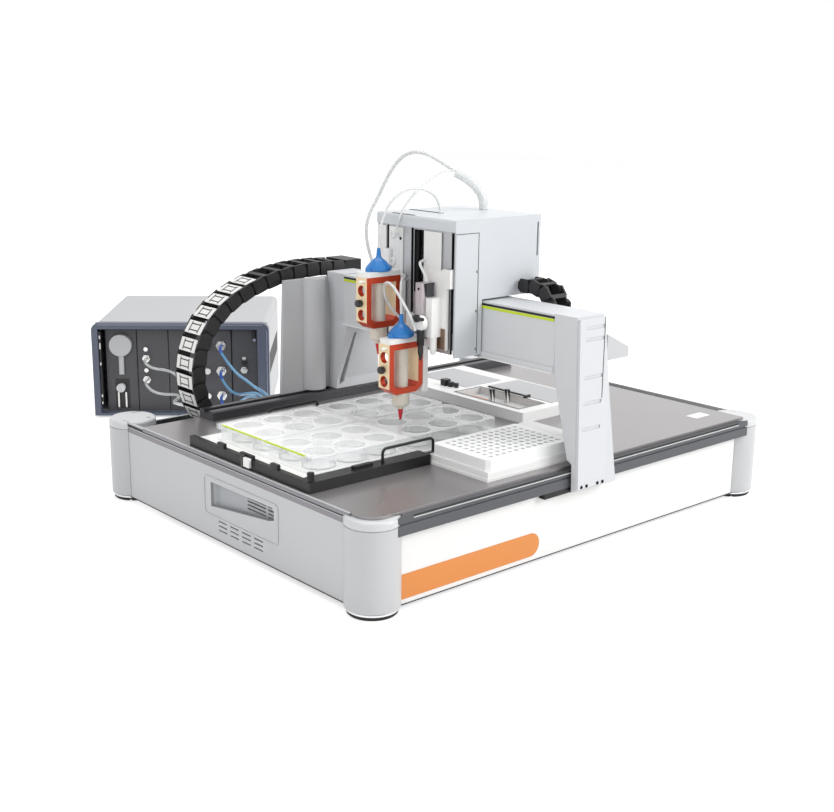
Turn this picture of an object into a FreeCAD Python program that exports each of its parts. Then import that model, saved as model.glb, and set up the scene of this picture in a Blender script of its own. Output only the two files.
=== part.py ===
import FreeCAD, Part
import math
import os
from FreeCAD import Vector

# Desktop bioprinter: a low base with four round corner posts, a gantry that
# travels along X, a print head that travels along Y on the gantry's beam,
# three tools that travel along Z, and a separate pneumatic control unit.
# Millimetres. Origin: centre of the base's footprint on the bench.
# +X along the base to the right, +Y to the rear, +Z up.

UP = Vector(0, 0, 1)
RUN_GAP = 0.3

# Base
base_length = 620.0
base_width = 500.0
rear_wall_top = 82.0
post_radius = 27.1
foot_radius = 24.5
foot_height = 7.0
post_top = 87.2
deck_top = 99.4
deck_thickness = 3.0
panel_inset = 10.0
panel_thickness = 2.5
panel_bottom = 5.8
pan_thickness = 4.0
rail_bottom = 78.0
rail_inset = 1.3
rail_depth = 22.0
deck_front_inset = 7.7
deck_left_inset = 7.7
deck_right_inset = 37.0
rear_rail_inset = 116.0
rear_rail_depth = 28.4
rear_rail_height = 11.1
trough_wall = 1.2
trough_depth = 68.0
scoop_depth = 4.0

# Labware on the deck
tray_front_inset = 105.6
tray_left_margin = 20.0
tray_right_margin = 9.98
tray_front_margin = 16.4
tray_rear_margin = 22.44
tray_bar_length = 154.0
tray_bar_depth = 5.4
tray_bar_ledge = 13.0
tray_side_bar = 6.0
tray_frame_height = 6.0
tray_bar_height = 11.0
plate_gap_x = 0.5
plate_gap_y = 0.6
tray_plate_thickness = 2.0
tray_handle_length = 68.0
tray_handle_top = 126.3
tray_wire = 1.5
labware_length = 127.76
labware_width = 85.48
well_plate_height = 17.0
well_radius = 17.4
well_pitch = 39.12
well_floor = 1.5
lid_height = 6.0
lid_wall = 1.2
micro_plate_height = 14.0
micro_pitch = 9.0
micro_well_radius = 3.2
micro_well_depth = 10.0
adapter_x0 = -144.2
adapter_y0 = -231.6
adapter_length = 150.0
adapter_width = 86.8
adapter_height = 7.6
station_x0 = 44.0
station_y0 = -98.0
station_length = 122.0
station_width = 230.0
station_height = 12.6
wash_trough_depth = 9.0

# Gantry
beam_front = -47.0
beam_depth = 47.0
beam_bottom = 196.0
beam_top = 255.5
beam_wall = 4.0
near_leg_overhang = 5.0
near_leg_thickness = 30.0
far_leg_thickness = 32.0
far_leg_lap = 18.0
leg_bottom = 74.0
cover_thickness = 3.0

# Head
head_front = -88.0
head_back = 38.0
head_near = -121.0
head_far = 6.0
head_top = 343.0
head_bottom = 198.0
head_rear_bottom = 257.5
sheet = 2.0
face_plate = 3.0
slot_width = 4.0
slot_top = 330.0
tongue_width = 2.8

# Tools
holder_width = 47.0
holder_depth = 18.0
holder_height = 55.0
holder_wall = 6.5
holder_right = -98.5
front_tool_y = -74.0
tool_clearance = 1.0
rear_tool_y = -36.0
front_holder_bottom = 158.5
rear_holder_bottom = 224.5
barrel_radius = 7.8
barrel_base_radius = 9.6
barrel_play = 0.05
nozzle_radius = 3.0
nozzle_tip_radius = 1.2
nozzle_length = 14.5
cap_radius = 13.5
guide_rod_radius = 4.0

# Energy chains
chain_side = 2.4
chain_reach = 0.92
x_chain_pitch = 20.0
x_chain_height = 17.0
x_chain_width = 40.0
x_chain_gap = 12.2
y_chain_pitch = 16.0
y_chain_height = 15.0
y_chain_width = 26.0

# Control unit, standing behind the base and turned towards the user
control_corner = Vector(-153.5, 577.0, 0)
control_turn = -38.5
control_width = 256.0
control_depth = 255.0
control_height = 141.0
control_wall = 3.0
control_foot = 3.0
control_recess = 18.0
bezel_left = 9.0
bezel_right = 17.0
bezel_depth = 14.0
module_count = 5
module_gap = 0.6
module_first = 16.0
module_last_margin = 10.0
button_size = 6.0
button_play = 0.3
button_stroke = 2.0

# Air lines
white_port_heights = (85.7, 54.0)
blue_port_heights = (105.8, 67.8, 30.4)
clamp_top = 66.0
air_line_radius = 2.0
cap_line_radius = 1.4
tool_line_radius = 1.5
sleeve_radius = 5.0
line_gap = 0.3
clamp_gap = 0.85
first_run = 18.0

# Derived places
half_x = base_length / 2
half_y = base_width / 2
post_x = half_x - post_radius
post_y = half_y - post_radius
deck_under = deck_top - deck_thickness
deck_left = -half_x + deck_left_inset
deck_right = half_x - deck_right_inset
deck_front = -half_y + deck_front_inset
rear_rail_front = half_y - rear_rail_inset
rear_rail_back = rear_rail_front + rear_rail_depth
rear_rail_top = deck_top + rear_rail_height
trough_floor = deck_top - trough_depth
tray_x0 = -half_x + panel_inset
tray_y0 = -half_y + tray_front_inset
tray_length = tray_left_margin + 2 * labware_length + plate_gap_x + tray_right_margin
tray_width = tray_front_margin + 2 * labware_width + plate_gap_y + tray_rear_margin
near_leg_outer = -half_y - near_leg_overhang
near_leg_inner = near_leg_outer + near_leg_thickness
far_leg_outer = rear_rail_front + far_leg_lap
far_leg_inner = far_leg_outer - far_leg_thickness
x_chain_y = far_leg_outer + x_chain_gap
module_pitch = (control_width - module_first - module_last_margin) / module_count
module_width = module_pitch - module_gap


def block(x0, x1, y0, y1, z0, z1):
    """Rectangular block between two corners."""
    return Part.makeBox(x1 - x0, y1 - y0, z1 - z0, Vector(x0, y0, z0))


def soft_block(x0, x1, y0, y1, z0, z1, radius):
    """Block with its four vertical edges rounded."""
    solid = block(x0, x1, y0, y1, z0, z1)
    upright = [e for e in solid.Edges if e.Length > 0 and abs(e.tangentAt(0).z) > 0.99]
    return solid.makeFillet(radius, upright)


def cylinder(x, y, z0, z1, radius):
    """Upright cylinder."""
    return Part.makeCylinder(radius, z1 - z0, Vector(x, y, z0), UP)


def cylinder_along(start, direction, length, radius):
    """Cylinder from a point along a direction."""
    return Part.makeCylinder(radius, length, start, direction)


def prism(points, vector):
    """Closed flat outline swept along a vector."""
    return Part.Face(Part.makePolygon(points + [points[0]])).extrude(vector)


def prism_xz(points, y0, y1):
    """Outline in X and Z, from y0 to y1."""
    return prism([Vector(x, y0, z) for x, z in points], Vector(0, y1 - y0, 0))


def prism_yz(points, x0, x1):
    """Outline in Y and Z, from x0 to x1."""
    return prism([Vector(x0, y, z) for y, z in points], Vector(x1 - x0, 0, 0))


def turned(profile, x, y):
    """Profile of radius and height, revolved about an upright axis at x, y."""
    points = [Vector(x + r, y, z) for r, z in profile]
    outline = Part.Face(Part.makePolygon(points + [points[0]]))
    return outline.revolve(Vector(x, y, 0), UP, 360)


def save(name, solids):
    """Write one sub-part, a single solid or a group of them."""
    shape = solids[0] if len(solids) == 1 else Part.makeCompound(solids)
    shape.exportStep(os.path.join("parts", name + ".step"))


def each_corner(x, y):
    """The four corners of a centred rectangle."""
    return [(sx * x, sy * y) for sx in (-1, 1) for sy in (-1, 1)]


# Base

def chassis():
    """Folded pan with cross ribs that carries the deck and the posts."""
    x1 = post_x - post_radius - 1.0
    y0 = -half_y + panel_inset + panel_thickness
    y1 = rear_rail_back
    outer = block(-x1, x1, y0, y1, panel_bottom + 2, deck_under)
    inner = block(-x1 + pan_thickness, x1 - pan_thickness, y0 + pan_thickness, y1 - pan_thickness,
                  panel_bottom + 2 + pan_thickness, deck_under + 1)
    pan = outer.cut(inner)
    for x in (-x1 / 3, x1 / 3):
        pan = pan.fuse(block(x - 2, x + 2, y0 + 1, y1 - 1, panel_bottom + 3, deck_under))
    seat = block(-half_x, half_x, -half_y, -half_y + rail_inset + rail_depth, rail_bottom, deck_under)
    return pan.cut(seat).removeSplitter()


def corner_posts():
    """Round posts, slotted on their inner sides for the panel ends."""
    return [cylinder(x, y, foot_height, post_top, post_radius).cut(panel_room(x, y))
            for x, y in each_corner(post_x, post_y)]


def post_cap(x, y):
    """Low turned cap with a rounded rim, cut where the front rail comes in."""
    rim = post_radius
    profile = [(0, post_top), (rim - 1, post_top), (rim, post_top + 1), (rim, deck_under - 2.5),
               (rim - 0.8, deck_under - 1), (rim - 2.5, deck_under), (0, deck_under)]
    return turned(profile, x, y).cut(panel_room(x, y))


def post_caps():
    return [post_cap(x, y) for x, y in each_corner(post_x, post_y)]


def post_feet():
    """Turned levelling feet with a waist between post and pad."""
    profile = [(0, 0), (foot_radius - 1, 0), (foot_radius, 1), (foot_radius, 3), (foot_radius - 2, 3.6),
               (foot_radius - 2, foot_height), (0, foot_height)]
    return [turned(profile, x, y).cut(panel_room(x, y)) for x, y in each_corner(post_x, post_y)]


def front_panel():
    """White front panel between the posts, under the front rail."""
    y0 = -half_y + panel_inset
    end = post_x - 9
    return block(-end, end, y0, y0 + panel_thickness, panel_bottom, rail_bottom)


def scoop_outline(y0, y1, z0, z1):
    """Side opening whose lower edge rises towards the front, as an air scoop's does."""
    return [(y1, z0), (y1, z1 - 1), (y0 + 3, z1), (y0, z1 - 3), (y0, z0 + 15), (y0 + 9, z0 + 12.5)]


def panel_room(x, y):
    """Slots that the panel ends need in a post, its cap and its foot."""
    sx = math.copysign(1, x)
    sy = math.copysign(1, y)
    deep = panel_inset - 0.2
    thick = panel_thickness + 0.4
    xs = sorted((sx * (half_x - deep), sx * (half_x - deep - thick)))
    ys = sorted((y - sy * 60, y - sy * 8))
    side = block(xs[0], xs[1], ys[0], ys[1], 0, deck_top)
    xs = sorted((x - sx * 60, x - sx * 8))
    ys = sorted((sy * (half_y - deep), sy * (half_y - deep - thick)))
    return side.fuse(block(xs[0], xs[1], ys[0], ys[1], 0, deck_top))


def side_panels():
    """Left, right and rear panels; the left one has the scoop and the vents."""
    x0 = -half_x + panel_inset
    end = post_y - 9
    left = block(x0, x0 + panel_thickness, -end, end, panel_bottom, deck_under)
    left = left.cut(prism_yz(scoop_outline(-89, 27, 41, 69), x0 - 1, x0 + panel_thickness + 1))
    for column in range(4):
        for row in range(3):
            y = 13 - column * 22
            z = 28.5 - row * 5
            left = left.cut(block(x0 - 1, x0 + 5, y - 16, y, z - 1.6, z))
    right = block(-x0 - panel_thickness, -x0, -end, end, panel_bottom, deck_under)
    side = post_x - 9
    rear = block(-side, side, half_y - panel_inset - panel_thickness, half_y - panel_inset,
                 panel_bottom, rear_wall_top)
    rear = rear.cut(block(216, 248, half_y - panel_inset - 3, half_y, 18, 44))
    return [left, right, rear, side_scoop()]


def side_scoop():
    """Moulded insert behind the scoop: a shallow tray with louvres at its front end."""
    x0 = -half_x + panel_inset + panel_thickness
    x1 = x0 + scoop_depth
    body = block(x0, x1 + 2, -93, 31, 36, 73)
    pocket = prism([Vector(x0 - 1, 28, 39), Vector(x0, 28, 39), Vector(x1, 24, 39), Vector(x1, -88, 39),
                    Vector(x0, -90, 39), Vector(x0 - 1, -90, 39)], Vector(0, 0, 31))
    body = body.cut(pocket)
    for row in range(4):
        z = 66 - row * 4
        body = body.cut(block(x0 - 1, x1 + 3, -66, -33, z - 1.8, z))
        body = body.cut(block(x0 - 1, x1 + 3, -87, -70, z - 1.8, z))
    return body


def post_clearance(x, y):
    """What a neighbour of a post leaves free."""
    return cylinder(x, y, 0, deck_under, post_radius + RUN_GAP)


def deck_plate():
    """Deck with a rounded front left corner and a slot behind for the chain."""
    corner = post_radius - deck_left_inset
    plate = block(deck_left, deck_right, deck_front, rear_rail_back, deck_under, deck_top)
    edge = [e for e in plate.Edges if abs(e.tangentAt(0).z) > 0.99
            and abs(e.CenterOfMass.x - deck_left) < 1 and abs(e.CenterOfMass.y - deck_front) < 1]
    return plate.makeFillet(corner, edge)


def front_rail():
    """Extruded front rail with a groove for the gantry's runner."""
    y0 = -half_y + rail_inset
    y1 = y0 + rail_depth
    z1 = deck_under
    profile = [(y0, rail_bottom), (y0, 88.0), (y0 + 1.2, 88.6), (y0 + 1.2, 89.4), (y0, 90.0), (y0, z1),
               (y1, z1), (y1, rail_bottom), (y0 + 7.3, rail_bottom), (y0 + 7.3, 83.0), (y0 + 2.7, 83.0),
               (y0 + 2.7, rail_bottom)]
    rail = prism_yz(profile, -post_x - 8, post_x + 8)
    for x in (-post_x, post_x):
        rail = rail.cut(post_clearance(x, -post_y))
    return rail


def rear_rail():
    """Raised rear rail on the deck that carries the far leg."""
    y0 = rear_rail_front
    y1 = rear_rail_back
    profile = [(y0, deck_top), (y0, rear_rail_top - 1.5), (y0 + 1.5, rear_rail_top), (y0 + 9, rear_rail_top),
               (y0 + 9, rear_rail_top - 4), (y0 + 19, rear_rail_top - 4), (y0 + 19, rear_rail_top),
               (y1 - 1.5, rear_rail_top), (y1, rear_rail_top - 1.5), (y1, deck_top)]
    return prism_yz(profile, -228.0, 262.0)


def chain_trough():
    """Folded channel behind the deck where the chain lies, with the tube clamp."""
    x1 = post_x - post_radius - 1.0
    y0 = rear_rail_back + RUN_GAP
    y1 = half_y - panel_inset - panel_thickness - 0.2
    floor = trough_floor
    outer = block(-x1, x1, y0, y1, floor - trough_wall, rear_wall_top)
    inner = block(-x1 + trough_wall, x1 - trough_wall, y0 + trough_wall, y1 - trough_wall, floor, deck_top)
    channel = outer.cut(inner)
    legs = [block(x, x + 20, y0 + 4, y1 - 4, panel_bottom + 2, floor - trough_wall) for x in (-200, 0, 180)]
    for leg in legs:
        channel = channel.fuse(leg)
    clamps = [block(x, x + 30, y1 - trough_wall - 20, y1 - trough_wall, clamp_top - 16, clamp_top)
              for x in (-104, -204)]
    anchor_x = x_chain_joints()[-1][0]
    anchor = block(anchor_x + x_chain_height / 2, anchor_x + x_chain_height / 2 + 15,
                   x_chain_y, x_chain_y + x_chain_width, floor, floor + x_chain_height + 2)
    return [channel.fuse(clamps + [anchor]).removeSplitter()]


# Labware

def deck_cut_chamfer(x0, x1, y0, y1, z0, z1, corner):
    """Block whose four corners are cut off at 45 degrees, as labware carriers have."""
    outline = [(x0 + corner, y0), (x1 - corner, y0), (x1, y0 + corner), (x1, y1 - corner),
               (x1 - corner, y1), (x0 + corner, y1), (x0, y1 - corner), (x0, y0 + corner)]
    return prism([Vector(x, y, z0) for x, y in outline], Vector(0, 0, z1 - z0))


def tray_frame():
    """Black open frame with taller bars along its front and left edges."""
    x0 = tray_x0
    x1 = tray_x0 + tray_length
    y0 = tray_y0
    y1 = tray_y0 + tray_width
    frame = block(x0, x1, y0, y1, deck_top, deck_top + tray_frame_height)
    frame = frame.cut(block(x0 + 14, x1 - 14, y0 + 14, y1 - 14, deck_top - 1, deck_top + 20))
    top = deck_top + tray_bar_height
    bar = block(x0, x0 + tray_bar_length, y0 - tray_bar_depth, y0 + tray_bar_ledge, deck_top, top)
    side = block(x0, x0 + tray_side_bar, y0, y1, deck_top, top)
    return frame.fuse([bar, side]).removeSplitter()


def tray_plate():
    """White carrier plate with cut corners on the frame."""
    z0 = deck_top + tray_frame_height
    return deck_cut_chamfer(tray_x0 + tray_side_bar + 0.2, tray_x0 + tray_length - 1, tray_y0 + tray_bar_ledge + 0.2,
                            tray_y0 + tray_width - 2, z0, z0 + tray_plate_thickness, 2)


def tray_handle(x_mid, y, z0):
    """Bent wire bail that stands on the edge of the tray."""
    half = tray_handle_length / 2
    z1 = tray_handle_top - tray_wire
    bend = 5.0
    start = Vector(x_mid - half, y, z0)
    corners = [(start, Vector(x_mid - half, y, z1 - bend)),
               (Vector(x_mid - half + bend, y, z1), Vector(x_mid + half - bend, y, z1)),
               (Vector(x_mid + half, y, z1 - bend), Vector(x_mid + half, y, z0))]
    inset = bend * (1 - math.sqrt(0.5))
    edges = [Part.makeLine(*corners[0])]
    edges.append(Part.Arc(corners[0][1], Vector(x_mid - half + inset, y, z1 - inset), corners[1][0]).toShape())
    edges.append(Part.makeLine(*corners[1]))
    edges.append(Part.Arc(corners[1][1], Vector(x_mid + half - inset, y, z1 - inset), corners[2][0]).toShape())
    edges.append(Part.makeLine(*corners[2]))
    section = Part.Wire(Part.makeCircle(tray_wire, start, UP))
    return Part.Wire(edges).makePipeShell([section], True, False)


def tray_fittings():
    """Corner clips, edge blocks and the two wire bails."""
    z0 = deck_top + tray_frame_height
    z1 = z0 + tray_plate_thickness
    top = deck_top + tray_bar_height
    middle = tray_x0 + tray_length / 2
    parts = [tray_handle(middle - 13, tray_y0 + 2, top)]
    parts.append(tray_handle(middle - 13, tray_y0 + tray_width - 10, z1))
    for y0, y1, height in ((92, 114, 4), (48, 60, 5), (144, 156, 5)):
        parts.append(block(tray_x0, tray_x0 + 4, tray_y0 + y0, tray_y0 + y1, top, top + height))
    parts.append(block(tray_x0 + 60, tray_x0 + 84, tray_y0 + 2, tray_y0 + 7, top, top + 3))
    return parts


def plate_places():
    """Lower left corner of each of the four plates on the tray."""
    x0 = tray_x0 + tray_left_margin
    y0 = tray_y0 + tray_front_margin
    return [(x0 + i * (labware_length + plate_gap_x), y0 + j * (labware_width + plate_gap_y))
            for i in (0, 1) for j in (0, 1)]


def well_plate(x, y, z):
    """Clear plate with two rows of three round wells above a wider skirt."""
    skirt = block(x, x + labware_length, y, y + labware_width, z, z + 3)
    body = deck_cut_chamfer(x + 1.4, x + labware_length - 1.4, y + 1.4, y + labware_width - 1.4,
                            z + 3, z + well_plate_height, 5)
    plate = skirt.fuse(body).removeSplitter()
    for i in (-1, 0, 1):
        for j in (-0.5, 0.5):
            well_x = x + labware_length / 2 + i * well_pitch
            well_y = y + labware_width / 2 + j * well_pitch
            plate = plate.cut(cylinder(well_x, well_y, z + well_floor, z + well_plate_height + 1, well_radius))
    return plate


def plate_seat():
    return deck_top + tray_frame_height + tray_plate_thickness


def well_plates(places):
    return [well_plate(x, y, plate_seat()) for x, y in places]


def lid(x, y):
    """Loose lid that hangs over the rim of a plate."""
    z0 = plate_seat() + well_plate_height - lid_height + lid_wall
    z1 = plate_seat() + well_plate_height + lid_wall
    outer = block(x - 0.1, x + labware_length + 0.1, y - 0.1, y + labware_width + 0.1, z0, z1)
    inner = block(x + 1.1, x + labware_length - 1.1, y + 1.1, y + labware_width - 1.1, z0 - 1, z1 - lid_wall)
    return outer.cut(inner)


def plate_adapter():
    """Stepped heating block under the microplate, with a flat end to its right."""
    x0 = adapter_x0
    x1 = x0 + adapter_length
    y0 = adapter_y0
    y1 = y0 + adapter_width
    z1 = deck_top + adapter_height
    body = block(x0, x1, y0, y1, deck_top, deck_top + 3)
    body = body.fuse(block(x0 + 1, x1 - 1, y0 + 0.6, y1 - 0.6, deck_top + 3, z1))
    end = soft_block(x0 + labware_length + 1.6, x1 - 1, y0 + 2, y1 - 2, z1, z1 + micro_plate_height - 0.6, 3)
    return body.fuse(end).removeSplitter()


def micro_plate():
    """Small-well plate with eight rows of twelve wells."""
    x0 = adapter_x0 + 1.0
    y0 = adapter_y0 + (adapter_width - labware_width) / 2
    z0 = deck_top + adapter_height
    z1 = z0 + micro_plate_height
    length = labware_length
    width = labware_width
    plate = block(x0, x0 + length, y0, y0 + width, z0, z0 + 2.5)
    plate = plate.fuse(deck_cut_chamfer(x0 + 1.4, x0 + length - 1.4, y0 + 1.4, y0 + width - 1.4, z0 + 2.5, z1, 4))
    plate = plate.removeSplitter()
    pockets = []
    for column in range(12):
        for row in range(8):
            x = x0 + length / 2 + (column - 5.5) * micro_pitch
            y = y0 + width / 2 + (row - 3.5) * micro_pitch
            ring = [Vector(x + micro_well_radius * math.cos(a * math.pi / 3),
                           y + micro_well_radius * math.sin(a * math.pi / 3), z1 - micro_well_depth)
                    for a in range(6)]
            pockets.append(prism(ring, Vector(0, 0, micro_well_depth + 1)))
    return plate.cut(Part.makeCompound(pockets))


def wash_station():
    """Low block with a long wash trough, a sample seat and a dry plate."""
    x0 = station_x0
    y0 = station_y0
    z1 = deck_top + station_height
    body = soft_block(x0, x0 + station_length, y0, y0 + station_width, deck_top, z1, 2)
    body = body.cut(block(x0 + 9, x0 + 54, y0 + 14, y0 + 126, z1 - wash_trough_depth, z1 + 1))
    body = body.cut(block(x0 + 37, x0 + 101, y0 + 134, y0 + 225, z1 - 1, z1 + 1))
    body = body.cut(block(x0 + 62, x0 + 119, y0 + 12, y0 + 124, z1 - 1, z1 + 1))
    return body


def station_fittings():
    """Black trough frame with its inlet blocks, probes and the ring seat."""
    x0 = station_x0
    y0 = station_y0
    z1 = deck_top + station_height
    low = z1 - wash_trough_depth
    frame = block(x0 + 9, x0 + 54, y0 + 14, y0 + 126, low, z1 + 0.8)
    frame = frame.cut(block(x0 + 11, x0 + 52, y0 + 16, y0 + 124, low + 1, z1 + 2))
    parts = [frame]
    for x, y in ((30, 81), (44, 69)):
        parts.append(block(x0 + x - 2.5, x0 + x + 2.5, y0 + y - 2.5, y0 + y + 2.5, low + 1, z1 + 9))
    for x, y, size, height in ((26, 150, 6, 6), (26, 160, 9, 8), (27, 141, 4, 6)):
        parts.append(block(x0 + x - size / 2, x0 + x + size / 2, y0 + y - size / 2, y0 + y + size / 2,
                           z1, z1 + height))
    ring = cylinder(26, -128, deck_top, deck_top + 5, 13)
    parts.append(ring.cut(cylinder(26, -128, deck_top + 1.5, deck_top + 6, 10.5)))
    return parts


# Gantry

def leg(outer, inner, foot, top, flip):
    """Leg that is slim at its foot, deep at the beam and flared at its back edge."""
    front = prism_xz([(-41, foot), (24, foot), (16, foot + 45), (0, beam_top - 40), (-6.8, top),
                      (-47.9, top)], min(outer, inner), max(outer, inner))
    step = 4.8 * flip
    side = prism_yz([(outer, foot), (outer + step, foot), (outer + step, deck_top + 4),
                     (outer + 2.3 * step, deck_top + 7), (inner, beam_bottom - 4), (inner, top),
                     (outer, top)], -80, 60)
    return front.common(side)


def near_leg():
    return leg(near_leg_outer, near_leg_inner, leg_bottom, beam_top + 1.0, 1)


def far_leg():
    """Far leg; it stands on the rear rail and carries the chain's moving end."""
    foot = rear_rail_top + RUN_GAP
    body = prism_xz([(-46, foot), (24, foot), (0, beam_top - 40), (-6.8, beam_top + 1.0),
                     (-47.9, beam_top + 1.0), (-42, beam_bottom)], far_leg_inner, far_leg_outer)
    step = far_leg_inner + 16
    side = prism_yz([(step, foot), (far_leg_outer, foot), (far_leg_outer, beam_top + 1), (far_leg_inner, beam_top + 1),
                     (far_leg_inner, beam_bottom - 4), (step, foot + 12)], -80, 60)
    body = body.common(side)
    slot = prism_xz([(-42, foot + 5), (-34, foot + 8), (-25, beam_bottom - 14), (-29, beam_bottom - 14)],
                    far_leg_inner - 1, far_leg_outer + 1)
    return body.cut(slot)


def near_leg_cover():
    """Thin outer cover with five pressed slots."""
    y0 = near_leg_outer - cover_thickness
    cover = prism_xz([(-39.5, leg_bottom + 2), (3.4, leg_bottom + 2), (3.4, 170), (-8.5, beam_top - 1),
                      (-46.5, beam_top - 1)], y0, near_leg_outer)
    for z in (245.0, 233.0, 194.0, 167.0, 140.0):
        cover = cover.cut(block(-37, -9, y0 - 1, y0 + 1.2, z - 1.8, z + 1.8))
    return cover


def far_leg_cover():
    """Grey motor cover behind the far leg with a rounded duct down its face."""
    y0 = far_leg_outer + RUN_GAP
    low = rear_rail_top + 0.5
    plate = prism_xz([(-118, low), (-26, low), (-26, 250), (-112, 250)], y0, y0 + 5)
    duct = cylinder(-69, y0 + 1, rear_rail_top + 2, 250, 15)
    duct = duct.cut(block(-90, -50, y0, y0 + 40, low - 20, 260))
    return plate.fuse(duct).removeSplitter()


def beam():
    """Hollow cross beam with a slotted front edge, a lower lip and a guide rail."""
    x0 = beam_front
    x1 = beam_front + beam_depth
    z0 = beam_bottom
    z1 = beam_top
    lip = 1.5
    profile = [(x0 - lip, z0), (x0 - lip, z0 + 5.3), (x0, z0 + 5.3), (x0, z1 - 6.4), (x0 - 0.6, z1 - 6.4),
               (x0 - 0.6, z1 - 4.2), (x0 + 2, z1 - 4.2), (x0 + 2, z1 - 2), (x0, z1 - 2), (x0, z1), (x1, z1), (x1, z0)]
    shell = prism_xz(profile, near_leg_inner, far_leg_inner)
    shell = shell.cut(block(x0 + beam_wall, x1 - beam_wall, near_leg_inner - 1, far_leg_inner + 1,
                            z0 + beam_wall, z1 - beam_wall - 4))
    return shell


def gantry_runners():
    """Runner under the front rail, runner in the rear rail, chain bracket and the beam's guide rail."""
    y_face = -half_y + rail_inset
    z1 = rail_bottom - RUN_GAP
    near = block(-78, 20, y_face + 0.7, -half_y + panel_inset - 0.4, z1 - 5.7, z1)
    near = near.fuse(block(-70, 12, y_face + 3.0, y_face + 7.0, z1 - 1, z1 + 4.6))
    near = near.fuse(block(-41, 20, near_leg_outer + 4.8, y_face + 0.7, z1 - 3.7, z1)).removeSplitter()
    rear = block(-50, 20, rear_rail_front + 9.3, rear_rail_front + 18.7, rear_rail_top - 3.7, rear_rail_top + RUN_GAP)
    x0 = x_chain_start.x + x_chain_height / 2 * chain_reach + 0.4
    y1 = x_chain_y + x_chain_width
    z = x_chain_start.z
    bracket = block(x0, x0 + 25, far_leg_outer, y1, z - x_chain_height, z - x_chain_height / 2)
    bracket = bracket.fuse(block(x0, x0 + 25, x_chain_y, y1, z - x_chain_height / 2, z + x_chain_height / 2))
    x = beam_front + beam_depth
    guide = block(x, x + 2.5, near_leg_inner + 4, far_leg_inner - 4, 224, 233)
    return [near, rear, bracket.removeSplitter(), guide]


def y_chain_tray():
    """Folded tray behind the beam that the lower run of the chain lies in."""
    x0 = beam_front + beam_depth + 2.8
    x1 = 34.5
    floor = y_chain_low() - y_chain_height / 2 - 0.2
    tray = block(x0 - 2.8, x1, near_leg_outer, 60, floor - 1.5, floor)
    tray = tray.fuse(block(x1 - 1.5, x1, near_leg_outer, 60, floor - 1.5, floor + 9))
    end = prism_xz([(x0 - 2.8, floor - 1.5), (x1, floor - 1.5), (x1, floor + 9), (x0 - 2.8, floor + 26)],
                   near_leg_outer, near_leg_outer + 1.5)
    tray = tray.fuse(end)
    return tray.cut(near_leg()).removeSplitter()


# Energy chains

x_chain_start = Vector(-18.0, 0, 257.0)
# Downward angle of each link of the X chain, from its moving end to its fixed end.
x_chain_angles = [-3, 0, 3, 7, 11, 15, 20, 26, 34, 44, 56, 69, 81, 93, 107, 118, 129, 141, 153, 165, 174]
x_chain_flat_links = 8
y_chain_x = 5.0
y_chain_start = head_near - 0.4 - y_chain_height / 2 * 0.92
y_chain_top = 268.0
y_chain_turn = 36.0
y_chain_low_links = 7


def x_chain_headings():
    return [math.radians(a) for a in x_chain_angles] + [math.pi] * x_chain_flat_links


def x_chain_joints():
    """Pin centres of the X chain, as x and z."""
    x, z = x_chain_start.x, x_chain_start.z
    joints = [(x, z)]
    for heading in x_chain_headings():
        x -= x_chain_pitch * math.cos(heading)
        z -= x_chain_pitch * math.sin(heading)
        joints.append((x, z))
    return joints


def y_chain_low():
    """Height of the lower run of the Y chain."""
    return y_chain_top - y_chain_pitch * sum(math.sin(heading) for heading in y_chain_headings())


def y_chain_headings():
    bend = [math.radians(y_chain_turn * (i + 0.5)) for i in range(5)]
    return [0.0] + bend + [math.pi] * y_chain_low_links


def chain_link(pitch, height, width):
    """One link along -X: outer side plates behind, inner ones ahead, and two bars."""
    h = height / 2
    reach = h * chain_reach
    flat = h * 0.4
    back = [(reach, -flat), (h * 0.5, -h), (-pitch * 0.5, -h), (-pitch * 0.5, h), (h * 0.5, h), (reach, flat)]
    ahead = [(-pitch * 0.42, -h), (-pitch - h * 0.1, -h), (-pitch - reach * 0.5, -flat), (-pitch - reach * 0.5, flat),
             (-pitch - h * 0.1, h), (-pitch * 0.42, h)]
    solids = []
    for y, inward in ((0, 1), (width, -1)):
        y_out = sorted((y, y + inward * chain_side))
        y_in = sorted((y + inward * (chain_side - 0.5), y + inward * (2 * chain_side)))
        rear = prism_xz(back, y_out[0], y_out[1])
        tip = prism_xz(ahead, *sorted((y + inward * (chain_side + 0.3), y + inward * (2 * chain_side))))
        web = prism_xz([(-pitch * 0.42, -h), (-pitch * 0.5, -h), (-pitch * 0.5, h), (-pitch * 0.42, h)],
                       y_in[0], y_in[1])
        solids += [rear, tip, web]
    bar_top = block(-pitch * 0.64, -pitch * 0.34, chain_side - 0.6, width - chain_side + 0.6, h - 1.6, h)
    bar_low = block(-pitch * 0.64, -pitch * 0.34, chain_side - 0.6, width - chain_side + 0.6, -h, -h + 1.6)
    return solids[0].fuse(solids[1:] + [bar_top, bar_low]).removeSplitter()


def x_energy_chain():
    """Cable chain from the far leg down into the trough."""
    link = chain_link(x_chain_pitch, x_chain_height, x_chain_width)
    links = []
    for (x, z), heading in zip(x_chain_joints(), x_chain_headings()):
        copy = link.copy()
        copy.rotate(Vector(0, 0, 0), Vector(0, 1, 0), -math.degrees(heading))
        copy.translate(Vector(x, x_chain_y, z))
        links.append(copy)
    return links


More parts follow.
